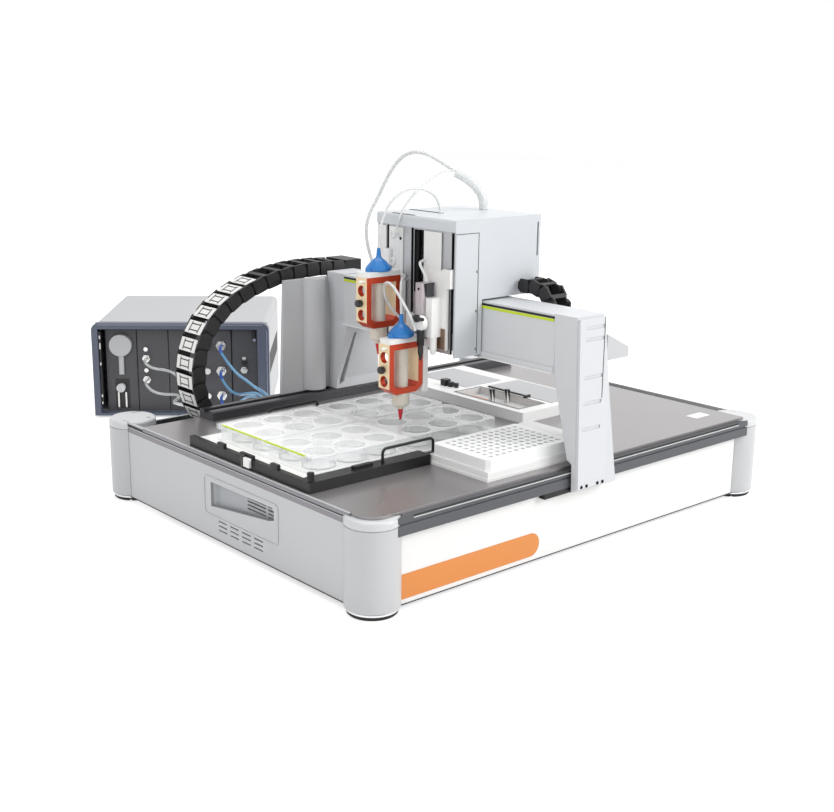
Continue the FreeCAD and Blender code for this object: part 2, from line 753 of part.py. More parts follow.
def y_energy_chain():
    """Cable chain from the head over and back into the tray behind the beam."""
    link = chain_link(y_chain_pitch, y_chain_height, y_chain_width)
    link.rotate(Vector(0, 0, 0), UP, 90)
    link.translate(Vector(y_chain_width, 0, 0))
    y, z = y_chain_start, y_chain_top
    links = []
    for heading in y_chain_headings():
        copy = link.copy()
        copy.rotate(Vector(0, 0, 0), Vector(1, 0, 0), math.degrees(heading))
        copy.translate(Vector(y_chain_x, y, z))
        links.append(copy)
        y -= y_chain_pitch * math.cos(heading)
        z -= y_chain_pitch * math.sin(heading)
    return links


# Head

def head_outline(inset, bottom):
    """Side outline of the head: deep in front of the beam, shallow above it."""
    step = beam_front - 2.0 - inset
    return [(head_front, bottom), (step, bottom), (step, head_rear_bottom + inset),
            (head_back - inset, head_rear_bottom + inset), (head_back - inset, head_top - inset),
            (head_front, head_top - inset)]


def slots():
    """Middle of each slot that a tool's tongue runs in, from near to far."""
    return (-116.0, front_tool_y + 22, rear_tool_y + 24)


def head_housing():
    """Folded sheet housing, open in front and below the tools."""
    shell = prism_xz(head_outline(0, head_bottom), head_near, head_far)
    inner = prism_xz(head_outline(sheet, head_bottom - 1), head_near + sheet, head_far - sheet)
    shell = shell.cut(inner)
    shell = shell.cut(block(head_front - 1, beam_front - 2 - sheet, head_near + sheet, head_far - sheet,
                            head_bottom - 1, head_bottom + 1))
    crown = prism_xz([(head_front - 1.5, slot_top + 1), (head_front, slot_top + 1), (head_front, head_top),
                      (head_front - 1.5, head_top - 2)], head_near, head_far)
    cable_slot = block(head_back - 5, head_back - 2.6, head_near - 1, head_near + sheet + 1, 298, 335)
    door = block(head_front + 32, head_front + 32.6, head_near - 1, head_near + 0.6, head_bottom + 2, 329)
    return shell.fuse(crown).removeSplitter().cut(cable_slot).cut(door)


def head_columns():
    """Face plate with three slots, the guide rods behind it and the beam carriage."""
    y0 = head_near + sheet + 0.2
    y1 = head_far - sheet - 0.2
    face = block(head_front, head_front + face_plate, y0, y1, head_bottom + 3, head_top - sheet - 0.2)
    for y in slots():
        face = face.cut(block(head_front - 1, head_front + face_plate + 1, y - slot_width / 2, y + slot_width / 2,
                              head_bottom - 1, slot_top))
    face = face.cut(block(head_front - 1, head_front + face_plate + 1, -71, -55, 262, slot_top - 1))
    parts = [face]
    for y in slots():
        parts.append(cylinder(head_front + 13, y + 6, head_bottom + 3, head_top - sheet - 0.2, guide_rod_radius))
    parts.append(block(head_front - 1.5, head_front - 0.0, -100, -72, 262, slot_top - 1))
    parts.append(block(beam_front - 2 - sheet - 4, beam_front - 2 - sheet, y0, y1, 215, 240))
    parts.append(block(beam_front + 4, beam_front + beam_depth, -100, -16, beam_top + 0.4, head_rear_bottom))
    return parts


def slide_block(y, z0, z1):
    """Carriage inside the head on its guide rod, with the tongue through the slot."""
    x0 = head_front + face_plate + 0.8
    inner = block(x0, head_front + 22, y - 1.4, y + 13, z0, z1)
    inner = inner.cut(cylinder(head_front + 13, y + 6, z0 - 1, z1 + 1, guide_rod_radius + RUN_GAP))
    tongue = block(head_front - 2.0, x0, y - tongue_width / 2, y + tongue_width / 2, z0, z1)
    return inner.fuse(tongue).removeSplitter()


# Tools

def tool_slide():
    """Backing plate, motor block and valve body of the near tool."""
    y = slots()[0]
    x1 = head_front - 5.6
    plate = block(x1, head_front - 2.0, -113, -84, 206, 290)
    ear = block(x1, head_front - 2.0, -118, -106, 272, 292)
    far = front_tool_y - holder_depth / 2 - tool_clearance
    body = soft_block(x1 - 18.4, x1, far - 12, far, 229, 277, 1.5)
    valve = block(x1 - 14, x1 - 4, far - 14, far - 11.5, 263, 276)
    return plate.fuse([ear, slide_block(y, 272, 292), body, valve]).removeSplitter()


def tool_gripper():
    """Printed dispenser: a flat body, a round coil and two jaws at its foot."""
    x1 = head_front - 5.6
    flat = block(x1 - 14, x1, -105.8, -96.4, 220, 262)
    hub = cylinder_along(Vector(x1 - 25.1, -97, 236), Vector(1, 0, 0), 6.5, 8)
    jaw = block(x1 - 24, x1 - 18.6, -100, -94, 212, 229)
    tip = turned([(0, 196), (1, 196), (3, 204), (3, 212), (0, 212)], x1 - 21, -97)
    cone = turned([(0, 201), (2.5, 201), (4, 207), (4, 221), (0, 221)], x1 - 7, -101)
    return [flat.fuse(cone).removeSplitter(), hub.fuse([jaw, tip]).removeSplitter()]


def tool_lever():
    """Small black lever that opens the near tool's jaws."""
    x1 = head_front - 5.6
    arm = block(x1 - 28.4, x1 - 25.3, -107, -88.5, 240, 243)
    stem = cylinder_along(Vector(x1 - 28.4, -97, 241.5), Vector(1, 0, 0), 3.1, 4)
    return arm.fuse(stem).removeSplitter()


def carrier(y, slot_y, z0):
    """White block that holds a cartridge frame on its slide."""
    tongue_z = z0 + holder_height - 1
    x0 = holder_right
    x1 = head_front - 2.0
    near = y - holder_depth / 2
    body = soft_block(x0, x1, near, near + 33, z0 - 2, z0 + holder_height, 2)
    neck = block(x1 - 4, x1, slot_y - 8, slot_y + 3, z0 + holder_height - 1, tongue_z + 26)
    return body.fuse(neck).fuse(slide_block(slot_y, tongue_z, tongue_z + 26)).removeSplitter()


def holder(y, z0):
    """Heated frame round the barrel: open front and back, two holes in its side."""
    x0 = holder_right - holder_width
    x1 = holder_right
    z1 = z0 + holder_height
    cut = 7.0
    outline = [(x0, z0 + cut), (x0 + cut * 1.3, z0), (x1 - cut * 1.3, z0), (x1, z0 + cut), (x1, z1), (x0, z1)]
    body = prism_xz(outline, y - holder_depth / 2, y + holder_depth / 2)
    w = holder_wall
    window = prism_xz([(x0 + w, z0 + w + 4), (x0 + w + 4, z0 + w), (x1 - w - 4, z0 + w), (x1 - w, z0 + w + 4),
                       (x1 - w, z1 - w), (x0 + w, z1 - w)], y - holder_depth, y + holder_depth)
    body = body.cut(window)
    middle = (x0 + x1) / 2
    body = body.cut(cylinder(middle, y, z0 - 1, z1 + 1, barrel_radius + barrel_play))
    for z in (z0 + 14.5, z0 + 40.5):
        body = body.cut(cylinder_along(Vector(x0 - 1, y, z), Vector(1, 0, 0), w + 2, 6))
    return body.cut(cylinder_along(Vector(x0 - 1, y, z0 + 27.5), Vector(1, 0, 0), w + 2, 2))


def barrel(y, z0):
    """Printing barrel with its top flange, and the soft nozzle in its tip."""
    x = holder_right - holder_width / 2
    z1 = z0 + holder_height
    low = z0 - 14.5
    foot = barrel_base_radius
    profile = [(0, low - 4), (nozzle_radius + 0.6, low - 4), (nozzle_radius + 1, low - 1.5), (foot - 2, low - 0.5),
               (foot, low + 1.5), (foot, z0 - 0.2), (barrel_radius, z0 - 0.2), (barrel_radius, z1), (0, z1)]
    body = turned(profile, x, y)
    flange = soft_block(x - holder_width / 2, x + holder_width / 2, y - holder_depth / 2, y + holder_depth / 2,
                        z1, z1 + 5.5, 3)
    tip = front_nozzle_tip(z0)
    nozzle = turned([(0, tip), (nozzle_tip_radius, tip), (nozzle_radius, low - 5.5), (nozzle_radius, low - 4),
                     (0, low - 4)], x, y)
    return [body.fuse(flange).removeSplitter(), nozzle]


def front_nozzle_tip(z0):
    return z0 - 14.5 - 4 - (nozzle_length - 2)


def cap(y, z0):
    """Blue screw cap with two wings and a tapered spout for the air line."""
    x = holder_right - holder_width / 2
    z = z0 + holder_height + 5.5
    profile = [(0, z), (cap_radius - 1, z), (cap_radius, z + 1.2), (cap_radius, z + 4), (cap_radius - 1.5, z + 6),
               (7.5, z + 11), (3.4, z + 14), (2.6, z + 16), (1.9, z + 24), (0, z + 24)]
    body = turned(profile, x, y)
    wings = soft_block(x - cap_radius - 3, x + cap_radius + 3, y - 3.5, y + 3.5, z, z + 4.4, 2)
    return body.fuse(wings).removeSplitter()


def thumb_screw(y, z0):
    """Black knurled thumb screw in the side of the holder."""
    x0 = holder_right - holder_width
    z = z0 + 27.5
    shank = cylinder_along(Vector(x0 - 1.2, y, z), Vector(1, 0, 0), 6, 1.95)
    points = []
    for i in range(16):
        r = 4.0 if i % 2 else 3.3
        a = i * math.pi / 8
        points.append(Vector(x0 - 6.5, y + r * math.cos(a), z + r * math.sin(a)))
    return shank.fuse(prism(points, Vector(5.3, 0, 0))).removeSplitter()


# Control unit

def placed(solids):
    """Move solids from the control unit's own frame to its place on the bench."""
    for solid in solids:
        solid.rotate(Vector(0, 0, 0), UP, control_turn)
        solid.translate(control_corner)
    return solids


def round_top(x0, x1, y0, y1, z0, z1, radius):
    """Block whose two long upper edges are rounded."""
    solid = block(x0, x1, y0, y1, z0, z1)
    edges = [e for e in solid.Edges if abs(e.tangentAt(0).y) > 0.99 and e.CenterOfMass.z > z1 - 1]
    return solid.makeFillet(radius, edges)


def control_case():
    """Shell with a long recess in each side."""
    y0 = bezel_depth
    case = round_top(2, control_width - 2, y0, control_depth, control_foot, control_height - 1.5, 9)
    hollow = block(2 + control_wall, control_width - 2 - control_wall, y0 - 1, control_depth - control_wall,
                   control_foot + control_wall, control_height - 1.5 - control_wall - 2.6)
    case = case.cut(hollow)
    depth = 2.0
    for x in (2, control_width - 2 - depth):
        case = case.cut(block(x - (0 if x > 9 else 1), x + depth + (1 if x > 9 else 0), 30, 226, 56, 88))
    feet = [cylinder(x, y, 0, control_foot, 8) for x in (26, control_width - 26) for y in (36, control_depth - 30)]
    return placed([case] + feet)


def control_bezel():
    """Moulded front frame, rounded at its upper corners."""
    bezel = round_top(0, control_width, 0, bezel_depth, control_foot, control_height, 11)
    opening = block(bezel_left, control_width - bezel_right, -1, bezel_depth + 1, control_foot + 4, control_height - 9)
    return placed([bezel.cut(opening)])


def control_modules():
    """Five plug-in modules side by side; the last one has a pocket for its button."""
    modules = []
    for i in range(module_count):
        x = module_x(i)
        face = control_recess - (3 if i == 3 else 0)
        modules.append(soft_block(x, x + module_width, face, 150, control_foot + control_wall, control_height - 13, 1.2))
    modules[-1] = modules[-1].cut(button_block(button_play, -1, button_stroke + 0.6 + button_play))
    return placed(modules)


def module_x(index):
    """Left side of a module."""
    return module_first + index * module_pitch


def button_block(grow, front, back):
    """The push button's outline, from in front of the module's face to behind it."""
    x0 = module_x(4) + 15
    z0 = 77.0
    return block(x0 - grow, x0 + button_size + grow, control_recess + front, control_recess + back,
                 z0 - grow, z0 + button_size + grow)


def port(x, z, radius, face):
    """Push-in air port with a hexagonal collar."""
    ring = [Vector(x + radius * math.cos(a * math.pi / 3), face, z + radius * math.sin(a * math.pi / 3))
            for a in range(6)]
    collar = prism(ring, Vector(0, -5, 0))
    return collar.fuse(cylinder_along(Vector(x, face - 5, z), Vector(0, -1, 0), 5, radius * 0.62)).removeSplitter()


def control_fittings():
    """Gauge, its stem, the needle valves and the air ports."""
    face = control_recess
    gauge_x = module_x(0) + 22.9
    gauge = cylinder_along(Vector(gauge_x, face, 106), Vector(0, -1, 0), 9, 16)
    stem = block(gauge_x - 3.4, gauge_x + 3.4, face - 5, face, 62, 89.8)
    rods = [cylinder(gauge_x + x, face - 2.0, 12, 35, 1.8) for x in (-6.4, 4.6)]
    parts = [gauge, stem] + rods
    for z in (100.0, 68.5):
        parts.append(cylinder_along(Vector(white_port_x(), face, z), Vector(0, -1, 0), 6, 3.2))
    for z in white_port_heights:
        parts.append(port(white_port_x(), z, 6.0, face))
    for z in blue_port_heights:
        parts.append(cylinder_along(Vector(module_x(3) + 11, face - 3, z), Vector(0, -1, 0), 7, 4.6))
        parts.append(port(blue_port_x(), z, 7.6, face - 3))
    parts.append(port(module_x(4) + 18, 68.6, 5.5, face))
    return placed(parts)


def white_port_x():
    return module_x(1) + 13.2


def blue_port_x():
    return module_x(3) + 30.9


def regulator_knob():
    """Small round pressure regulator knob with a pointer rib."""
    face = control_recess - 0.3
    x = module_x(0) + 21
    knob = cylinder_along(Vector(x, face, 42), Vector(0, -1, 0), 8, 6.3)
    return placed([knob.fuse(block(x - 0.8, x + 0.8, face - 9, face - 7.5, 37, 47)).removeSplitter()])


def selector_button():
    """Square push button in its pocket above the port of the last module."""
    return placed([button_block(0, -4.4, 0.6)])


# Air lines and cables

def tube(label, points, radius):
    """Round line of straight runs joined by arcs as large as the runs allow."""
    points = [Vector(*point) for point in points]
    edges = []
    radii = []
    start = points[0]
    for before, corner, after in zip(points, points[1:], points[2:]):
        back = (before - corner).normalize()
        on = (after - corner).normalize()
        half_turn = (math.pi - back.getAngle(on)) / 2
        tangent = 0.45 * min((before - corner).Length, (after - corner).Length)
        bend = tangent / math.tan(half_turn)
        middle = corner + (back + on).normalize() * (bend / math.cos(half_turn) - bend)
        edges.append(Part.makeLine(start, corner + back * tangent))
        edges.append(Part.Arc(corner + back * tangent, middle, corner + on * tangent).toShape())
        start = corner + on * tangent
        radii.append(bend)
    edges.append(Part.makeLine(start, points[-1]))
    path = Part.Wire(edges)
    section = Part.Wire(Part.makeCircle(radius, points[0], points[1] - points[0]))
    solid = path.makePipeShell([section], True, False)
    even = solid.Volume / (math.pi * radius ** 2 * path.Length)
    print(label, "length", round(path.Length, 1), "least radius", round(min(radii), 1), "volume ratio", round(even, 4))
    return solid


def port_mouth(x, face, z, reach):
    """World place of a port's end on the control unit."""
    mouth = Part.Vertex(x, face - reach, z)
    placed([mouth])
    return mouth.Point


def blue_air_line(index):
    """Air line from a port of the fourth module, over the rear panel, down to the clamp."""
    x_end = (-80.0, -88.5, -97.0)[index]
    start = port_mouth(blue_port_x(), control_recess - 3, blue_port_heights[index], 10 + line_gap)
    out = port_mouth(blue_port_x(), control_recess - 3, blue_port_heights[index], 10 + line_gap + first_run)
    heights = ((101, 98, 95, 93, 92, 90.5), (62, 62, 67, 76, 85, 90), (26, 32, 46, 62, 79, 89.5))[index]
    places = ((-33, 412), (-48, 374), (-61, 337), (x_end + 12, 303), (x_end + 3, 273), (x_end, 247))
    route = [tuple(start), tuple(out)] + [(x, y, z) for (x, y), z in zip(places, heights)]
    return tube("blue line", route + [(x_end, 230.5, 83), (x_end, 226, clamp_top + clamp_gap)], air_line_radius)


def white_air_line(index):
    """Air line from a port of the second module to the same clamp."""
    x_end = (-182.0, -193.0)[index]
    start = port_mouth(white_port_x(), control_recess, white_port_heights[index], 10 + line_gap)
    out = port_mouth(white_port_x(), control_recess, white_port_heights[index], 10 + line_gap + first_run)
    heights = ((82, 86, 90, 91, 90, 92, 91), (47, 50, 60, 68, 76, 84, 90))[index]
    places = ((-104, 492), (-103, 458), (-112, 416), (-131, 370), (x_end + 24, 326), (x_end + 7, 284), (x_end, 248))
    route = [tuple(start), tuple(out)] + [(x, y, z) for (x, y), z in zip(places, heights)]
    return tube("white line", route + [(x_end, 230.5, 83), (x_end, 226, clamp_top + clamp_gap)], air_line_radius)


def umbilical():
    """Sleeve out of the head's top, and the line that loops from it to the beam's far end."""
    sleeve = tube("sleeve", [(23.2, -46, head_top + line_gap), (23.2, -46, 355.5), (18.5, -39, 367.5), (10, -31, 377.5),
                             (0.7, -22.5, 383.5)], sleeve_radius)
    z = beam_top + clamp_gap
    loop = tube("loop", [(-14, 100, z), (-20, 99, z + 16), (-30, 95, z + 34), (-36, 92, 312), (-33, 89, 331),
                         (-24, 82, 352), (-20, 70, 376), (-17, 54, 396), (-12, 36, 405), (-8, 17, 403),
                         (-4.4, 0, 396.5), (-1.0, -19.5, 387)], air_line_radius)
    return [sleeve, loop]


def rear_cap_line():
    """Thin line from the rear cap over the head's front edge into its top."""
    x = holder_right - holder_width / 2
    z = rear_holder_bottom + holder_height + 29.5 + line_gap
    return tube("rear cap line", [(x, rear_tool_y, z), (x + 0.6, -36.4, z + 16), (x + 5, -38, z + 36), (x + 17, -41, z + 54),
                                  (x + 37, -45, z + 63), (x + 58, -49, z + 60), (x + 72, -51.5, z + 49),
                                  (x + 74, -52, head_top + line_gap)], cap_line_radius)


def front_cap_line():
    """Thin line from the front cap to the column beside it."""
    x = holder_right - holder_width / 2
    z = front_holder_bottom + holder_height + 29.5 + line_gap
    return tube("front cap line", [(x, front_tool_y, z), (x + 0.5, -73, z + 11), (x + 3, -69, z + 24), (x + 9, -63, z + 33),
                                   (x + 18, -56, z + 35), (x + 27, -50.5, z + 32), (head_front - clamp_gap, -48.5, z + 30.5)],
                cap_line_radius)


def tool_lines():
    """The near tool's line over the cartridge, and the short arc to its top."""
    x = head_front - 5.6
    over = tube("tool line", [(x - 28.7, -97, 228.5), (x - 31, -96, 238), (x - 34, -90, 250), (x - 36, -81, 262),
                              (x - 37, -71, 273), (x - 37, -60, 277), (x - 34, -51, 270), (x - 29, -48, 257),
                              (x - 20, -50, 243), (x - 9, -54, 231), (x - 3, -56, 219),
                              (x - 2.5, -56.5, front_holder_bottom + holder_height + line_gap)], tool_line_radius)
    arc = tube("tool arc", [(head_front - 1.5 - clamp_gap, -75, 298), (-97.7, -76.3, 297.5), (-102.8, -80.9, 295),
                            (-104.2, -86.7, 290.5), (-103.9, -91, 284.4), (-103.2, -93.1, 277.7)], tool_line_radius)
    return [over, arc]


os.makedirs("parts", exist_ok=True)

save("chassis", [chassis()])
save("corner_posts", corner_posts())
save("post_caps", post_caps())
save("post_feet", post_feet())
save("front_panel", [front_panel()])
save("side_panels", side_panels())
save("deck_plate", [deck_plate()])
save("front_rail", [front_rail()])
save("rear_rail", [rear_rail()])
save("chain_trough", chain_trough())
save("tray_frame", [tray_frame()])
save("tray_plate", [tray_plate()])
save("tray_fittings", tray_fittings())
save("well_plates_left", well_plates(plate_places()[:2]))
save("well_plates_right", well_plates(plate_places()[2:]))
save("lid_front", [lid(*plate_places()[0])])
save("lid_rear", [lid(*plate_places()[1])])
save("plate_adapter", [plate_adapter()])
save("micro_plate", [micro_plate()])
save("wash_station", [wash_station()])
save("station_fittings", station_fittings())
save("near_leg", [near_leg()])
save("near_leg_cover", [near_leg_cover()])
save("far_leg", [far_leg()])
save("far_leg_cover", [far_leg_cover()])
save("beam", [beam()])
save("gantry_runners", gantry_runners())
save("y_chain_tray", [y_chain_tray()])
save("x_energy_chain", x_energy_chain())
save("y_energy_chain", y_energy_chain())
save("head_housing", [head_housing()])
save("head_columns", head_columns())
save("tool_slide", [tool_slide()])
save("tool_gripper", tool_gripper())
save("tool_lever", [tool_lever()])
for side, tool_y, slot_y, bottom in (
        ("front", front_tool_y, slots()[1], front_holder_bottom),
        ("rear", rear_tool_y, slots()[2], rear_holder_bottom)):
    save(side + "_slide", [carrier(tool_y, slot_y, bottom)])
    save(side + "_holder", [holder(tool_y, bottom)])
    save(side + "_barrel", barrel(tool_y, bottom))
    save(side + "_cap", [cap(tool_y, bottom)])
    save(side + "_thumb_screw", [thumb_screw(tool_y, bottom)])
save("control_case", control_case())
save("control_bezel", control_bezel())
save("control_modules", control_modules())
save("control_fittings", control_fittings())
save("regulator_knob", regulator_knob())
save("selector_button", selector_button())
for index in range(len(blue_port_heights)):
    save("blue_air_line_" + str(index + 1), [blue_air_line(index)])
for index in range(len(white_port_heights)):
    save("white_air_line_" + str(index + 1), [white_air_line(index)])
save("umbilical", umbilical())
save("rear_cap_line", [rear_cap_line()])
save("front_cap_line", [front_cap_line()])
save("tool_lines", tool_lines())
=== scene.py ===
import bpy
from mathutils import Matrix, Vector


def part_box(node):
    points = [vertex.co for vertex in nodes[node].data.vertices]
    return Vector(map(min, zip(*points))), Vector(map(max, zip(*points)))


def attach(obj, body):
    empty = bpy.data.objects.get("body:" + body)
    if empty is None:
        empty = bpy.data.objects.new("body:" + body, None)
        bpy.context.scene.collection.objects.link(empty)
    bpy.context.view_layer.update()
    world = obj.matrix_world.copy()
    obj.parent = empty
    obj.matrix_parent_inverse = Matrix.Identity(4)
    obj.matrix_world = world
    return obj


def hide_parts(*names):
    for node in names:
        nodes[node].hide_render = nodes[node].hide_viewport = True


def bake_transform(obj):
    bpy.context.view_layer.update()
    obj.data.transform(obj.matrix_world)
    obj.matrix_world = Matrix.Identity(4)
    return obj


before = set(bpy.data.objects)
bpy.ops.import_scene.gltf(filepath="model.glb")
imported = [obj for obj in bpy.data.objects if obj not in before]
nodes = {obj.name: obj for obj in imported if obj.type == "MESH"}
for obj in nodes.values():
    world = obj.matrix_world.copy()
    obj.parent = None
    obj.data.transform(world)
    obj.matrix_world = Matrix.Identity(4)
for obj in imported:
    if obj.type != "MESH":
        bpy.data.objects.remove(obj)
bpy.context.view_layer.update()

import math

import bmesh
import bpy
from mathutils import Matrix, Vector

scene = bpy.context.scene


# Corner posts with their caps. Extruded aluminium tubes, powder coated pale
# grey, each closed by a turned cap that is a shade lighter and is held by a
# small socket screw.

def linear(code):
    """Linear colour of an sRGB hex value."""
    parts = [int(code[i:i + 2], 16) / 255 for i in (1, 3, 5)]
    return tuple(c / 12.92 if c <= 0.04045 else ((c + 0.055) / 1.055) ** 2.4 for c in parts) + (1.0,)


def add(tree, kind, inputs=None, **settings):
    """Adds a shader node with its settings, and its inputs as values or links."""
    made = tree.nodes.new(kind)
    for name, value in settings.items():
        setattr(made, name, value)
    for name, value in (inputs or {}).items():
        if isinstance(value, bpy.types.NodeSocket):
            tree.links.new(value, made.inputs[name])
        else:
            made.inputs[name].default_value = value
    return made


def blank(name):
    """A new material with an empty tree, and its object coordinates in metres."""
    made = bpy.data.materials.new(name)
    made.use_nodes = True
    made.node_tree.nodes.clear()
    return made, made.node_tree, add(made.node_tree, "ShaderNodeTexCoord").outputs["Object"]


def close(tree, shader):
    add(tree, "ShaderNodeOutputMaterial", {"Surface": shader})


def powder_coat(name, code, roughness=0.42):
    """Sprayed and baked polyester: a fine orange peel about 0.7 mm across, softly rounded edges."""
    made, tree, place = blank(name)
    peel = add(tree, "ShaderNodeTexNoise", {"Vector": place, "Scale": 1 / 0.0014, "Detail": 2.0})
    patch = add(tree, "ShaderNodeTexNoise", {"Vector": place, "Scale": 1 / 0.09, "Detail": 3.0})
    tint = add(tree, "ShaderNodeMixRGB", {"Fac": patch.outputs["Fac"], "Color1": linear(code),
                                          "Color2": [c * 0.93 for c in linear(code)[:3]] + [1.0]})
    edge = add(tree, "ShaderNodeBevel", {"Radius": 0.0006}, samples=4)
    skin = add(tree, "ShaderNodeBump", {"Height": peel.outputs["Fac"], "Normal": edge.outputs["Normal"],
                                        "Strength": 0.08, "Distance": 0.0002})
    inputs = {"Base Color": tint.outputs["Color"], "Roughness": roughness, "IOR": 1.5,
              "Normal": skin.outputs["Normal"]}
    close(tree, add(tree, "ShaderNodeBsdfPrincipled", inputs).outputs["BSDF"])
    return made


def dress(material, *names):
    """Gives CAD nodes their real finish."""
    for name in names:
        slots = nodes[name].data.materials
        slots.clear()
        slots.append(material)


post_coat = powder_coat("powder_coat_pale_grey", "#C9CACC", 0.36)
cap_coat = powder_coat("powder_coat_cap_grey", "#D6D8DA", 0.34)
dress(post_coat, "corner_posts")
dress(cap_coat, "post_caps")


def mesh_piece(name, points, faces, material, body, width=0.0):
    """A piece from corner points in millimetres, with rounded edges, that rides on the named body, if any."""
    mesh = bpy.data.meshes.new(name)
    mesh.from_pydata([Vector(p) / 1000 for p in points], [], faces)
    tidy = bmesh.new()
    tidy.from_mesh(mesh)
    bmesh.ops.recalc_face_normals(tidy, faces=tidy.faces)
    tidy.to_mesh(mesh)
    tidy.free()
    mesh.materials.append(material)
    made = bpy.data.objects.new(name, mesh)
    scene.collection.objects.link(made)
    if width:
        rounding = made.modifiers.new("edge", "BEVEL")
        rounding.width = width / 1000
        rounding.segments = 2
        rounding.limit_method = "ANGLE"
    if body:
        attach(made, body)
    return made


def brick(low, high):
    """Corner points and faces of a block."""
    points = [(x, y, z) for z in (low[2], high[2]) for y in (low[1], high[1]) for x in (low[0], high[0])]
    return points, [(0, 2, 3, 1), (4, 5, 7, 6), (0, 1, 5, 4), (2, 6, 7, 3), (0, 4, 6, 2), (1, 3, 7, 5)]


def bars(name, boxes, material, body, width=0.2):
    """One piece made of several small blocks."""
    points = []
    faces = []
    for low, high in boxes:
        block_points, block_faces = brick(low, high)
        faces += [tuple(i + len(points) for i in face) for face in block_faces]
        points += block_points
    return mesh_piece(name, points, faces, material, body, width)


def across(normal):
    """Two directions square to a normal."""
    normal = Vector(normal).normalized()
    side = normal.cross(Vector((0, 0, 1)))
    if side.length < 0.1:
        side = normal.cross(Vector((1, 0, 0)))
    side.normalize()
    return side, normal.cross(side)


def lathe(rings, centre, normal, steps=32):
    """Corner points and faces of a turned form, from rings of radius and height along the normal.
    A last ring equal to the first makes an open hoop."""
    side, rise = across(normal)
    normal = Vector(normal).normalized()
    hoop = rings[0] == rings[-1]
    if hoop:
        rings = rings[:-1]
    points = []
    faces = []
    for radius, height in rings:
        for i in range(steps):
            a = 2 * math.pi * i / steps
            outward = side * math.cos(a) + rise * math.sin(a)
            points.append(Vector(centre) + outward * radius + normal * height)
    for k in range(len(rings) if hoop else len(rings) - 1):
        above = (k + 1) % len(rings)
        for i in range(steps):
            j = (i + 1) % steps
            faces.append((k * steps + i, k * steps + j, above * steps + j, above * steps + i))
    if not hoop:
        faces.append(tuple(reversed(range(steps))))
        faces.append(tuple(range((len(rings) - 1) * steps, len(rings) * steps)))
    return points, faces


def turned(name, forms, material, body, steps=32):
    """One piece made of several turned forms, each (rings, centre, normal)."""
    points = []
    faces = []
    for rings, centre, normal in forms:
        form_points, form_faces = lathe(rings, centre, normal, steps)
        faces += [tuple(i + len(points) for i in face) for face in form_faces]
        points += form_points
    made = mesh_piece(name, points, faces, material, body)
    made.data.polygons.foreach_set("use_smooth", [len(p.vertices) == 4 for p in made.data.polygons])
    soften = made.modifiers.new("creases", "EDGE_SPLIT")
    soften.split_angle = math.radians(35)
    return made


def metal(name, code, roughness, grain=0.0):
    """Bare or plated metal; a grain in metres gives brushed lines along X."""
    made, tree, place = blank(name)
    edge = add(tree, "ShaderNodeBevel", {"Radius": 0.0005}, samples=4)
    inputs = {"Base Color": linear(code), "Metallic": 1.0, "Roughness": roughness,
              "Normal": edge.outputs["Normal"]}
    if grain:
        stretch = add(tree, "ShaderNodeMapping", {"Vector": place, "Scale": (0.02, 1.0, 1.0)})
        lines = add(tree, "ShaderNodeTexNoise", {"Vector": stretch.outputs["Vector"], "Scale": 1 / grain,
                                                 "Detail": 3.0})
        skin = add(tree, "ShaderNodeBump", {"Height": lines.outputs["Fac"], "Normal": edge.outputs["Normal"],
                                            "Strength": 0.12, "Distance": 0.0002})
        inputs["Normal"] = skin.outputs["Normal"]
    close(tree, add(tree, "ShaderNodeBsdfPrincipled", inputs).outputs["BSDF"])
    return made


def socket_heads(name, places, normal, radius, material, body):
    """Small socket screws: a chamfered head with a dished middle."""
    rings = [(radius, 0.0), (radius, 0.5), (radius * 0.85, 0.8), (radius * 0.5, 0.8), (radius * 0.45, 0.2)]
    return turned(name, [(rings, place, normal) for place in places], material, body, 16)


steel = metal("stainless_screw_steel", "#9A9CA0", 0.28)
black_steel = metal("black_oxide_steel", "#1C1C1E", 0.4)
posts = [(x, y) for x in (-282.9, 282.9) for y in (-222.9, 222.9)]
cap_top = 96.0
screw_places = [(x - math.copysign(12, x), y - math.copysign(16, y), cap_top) for x, y in posts[1:]]
socket_heads("cap_screws", screw_places, (0, 0, 1), 2.2, steel, "base")


# Levelling feet. A black rubber pad in a polished steel cup under each post;
# the cup's bright rim shows as a ring between the pad and the post.

def moulded(name, code, roughness=0.5, grit=0.0006, depth=0.05):
    """Injection moulded plastic with a fine spark-eroded skin."""
    made, tree, place = blank(name)
    skin = add(tree, "ShaderNodeTexNoise", {"Vector": place, "Scale": 1 / grit, "Detail": 2.0})
    edge = add(tree, "ShaderNodeBevel", {"Radius": 0.0004}, samples=4)
    bump = add(tree, "ShaderNodeBump", {"Height": skin.outputs["Fac"], "Normal": edge.outputs["Normal"],
                                        "Strength": depth, "Distance": 0.0002})
    inputs = {"Base Color": linear(code), "Roughness": roughness, "IOR": 1.52,
              "Normal": bump.outputs["Normal"]}
    close(tree, add(tree, "ShaderNodeBsdfPrincipled", inputs).outputs["BSDF"])
    return made


foot_rubber = moulded("natural_rubber_black", "#141414", 0.75, 0.001, 0.3)
chrome = metal("polished_chrome", "#D9DBDE", 0.08)
dress(foot_rubber, "post_feet")
cup_rings = [(24.0, 0), (25.2, 0.3), (25.2, 2.2), (23.5, 2.8)]
turned("foot_cups", [(cup_rings, (x, y, 3.6), (0, 0, 1)) for x, y in posts], chrome, "base", 64)


# Base panels. Folded steel sheet, powder coated: white in front, light grey at
# the sides, with a moulded grip recess and air slots on the left.

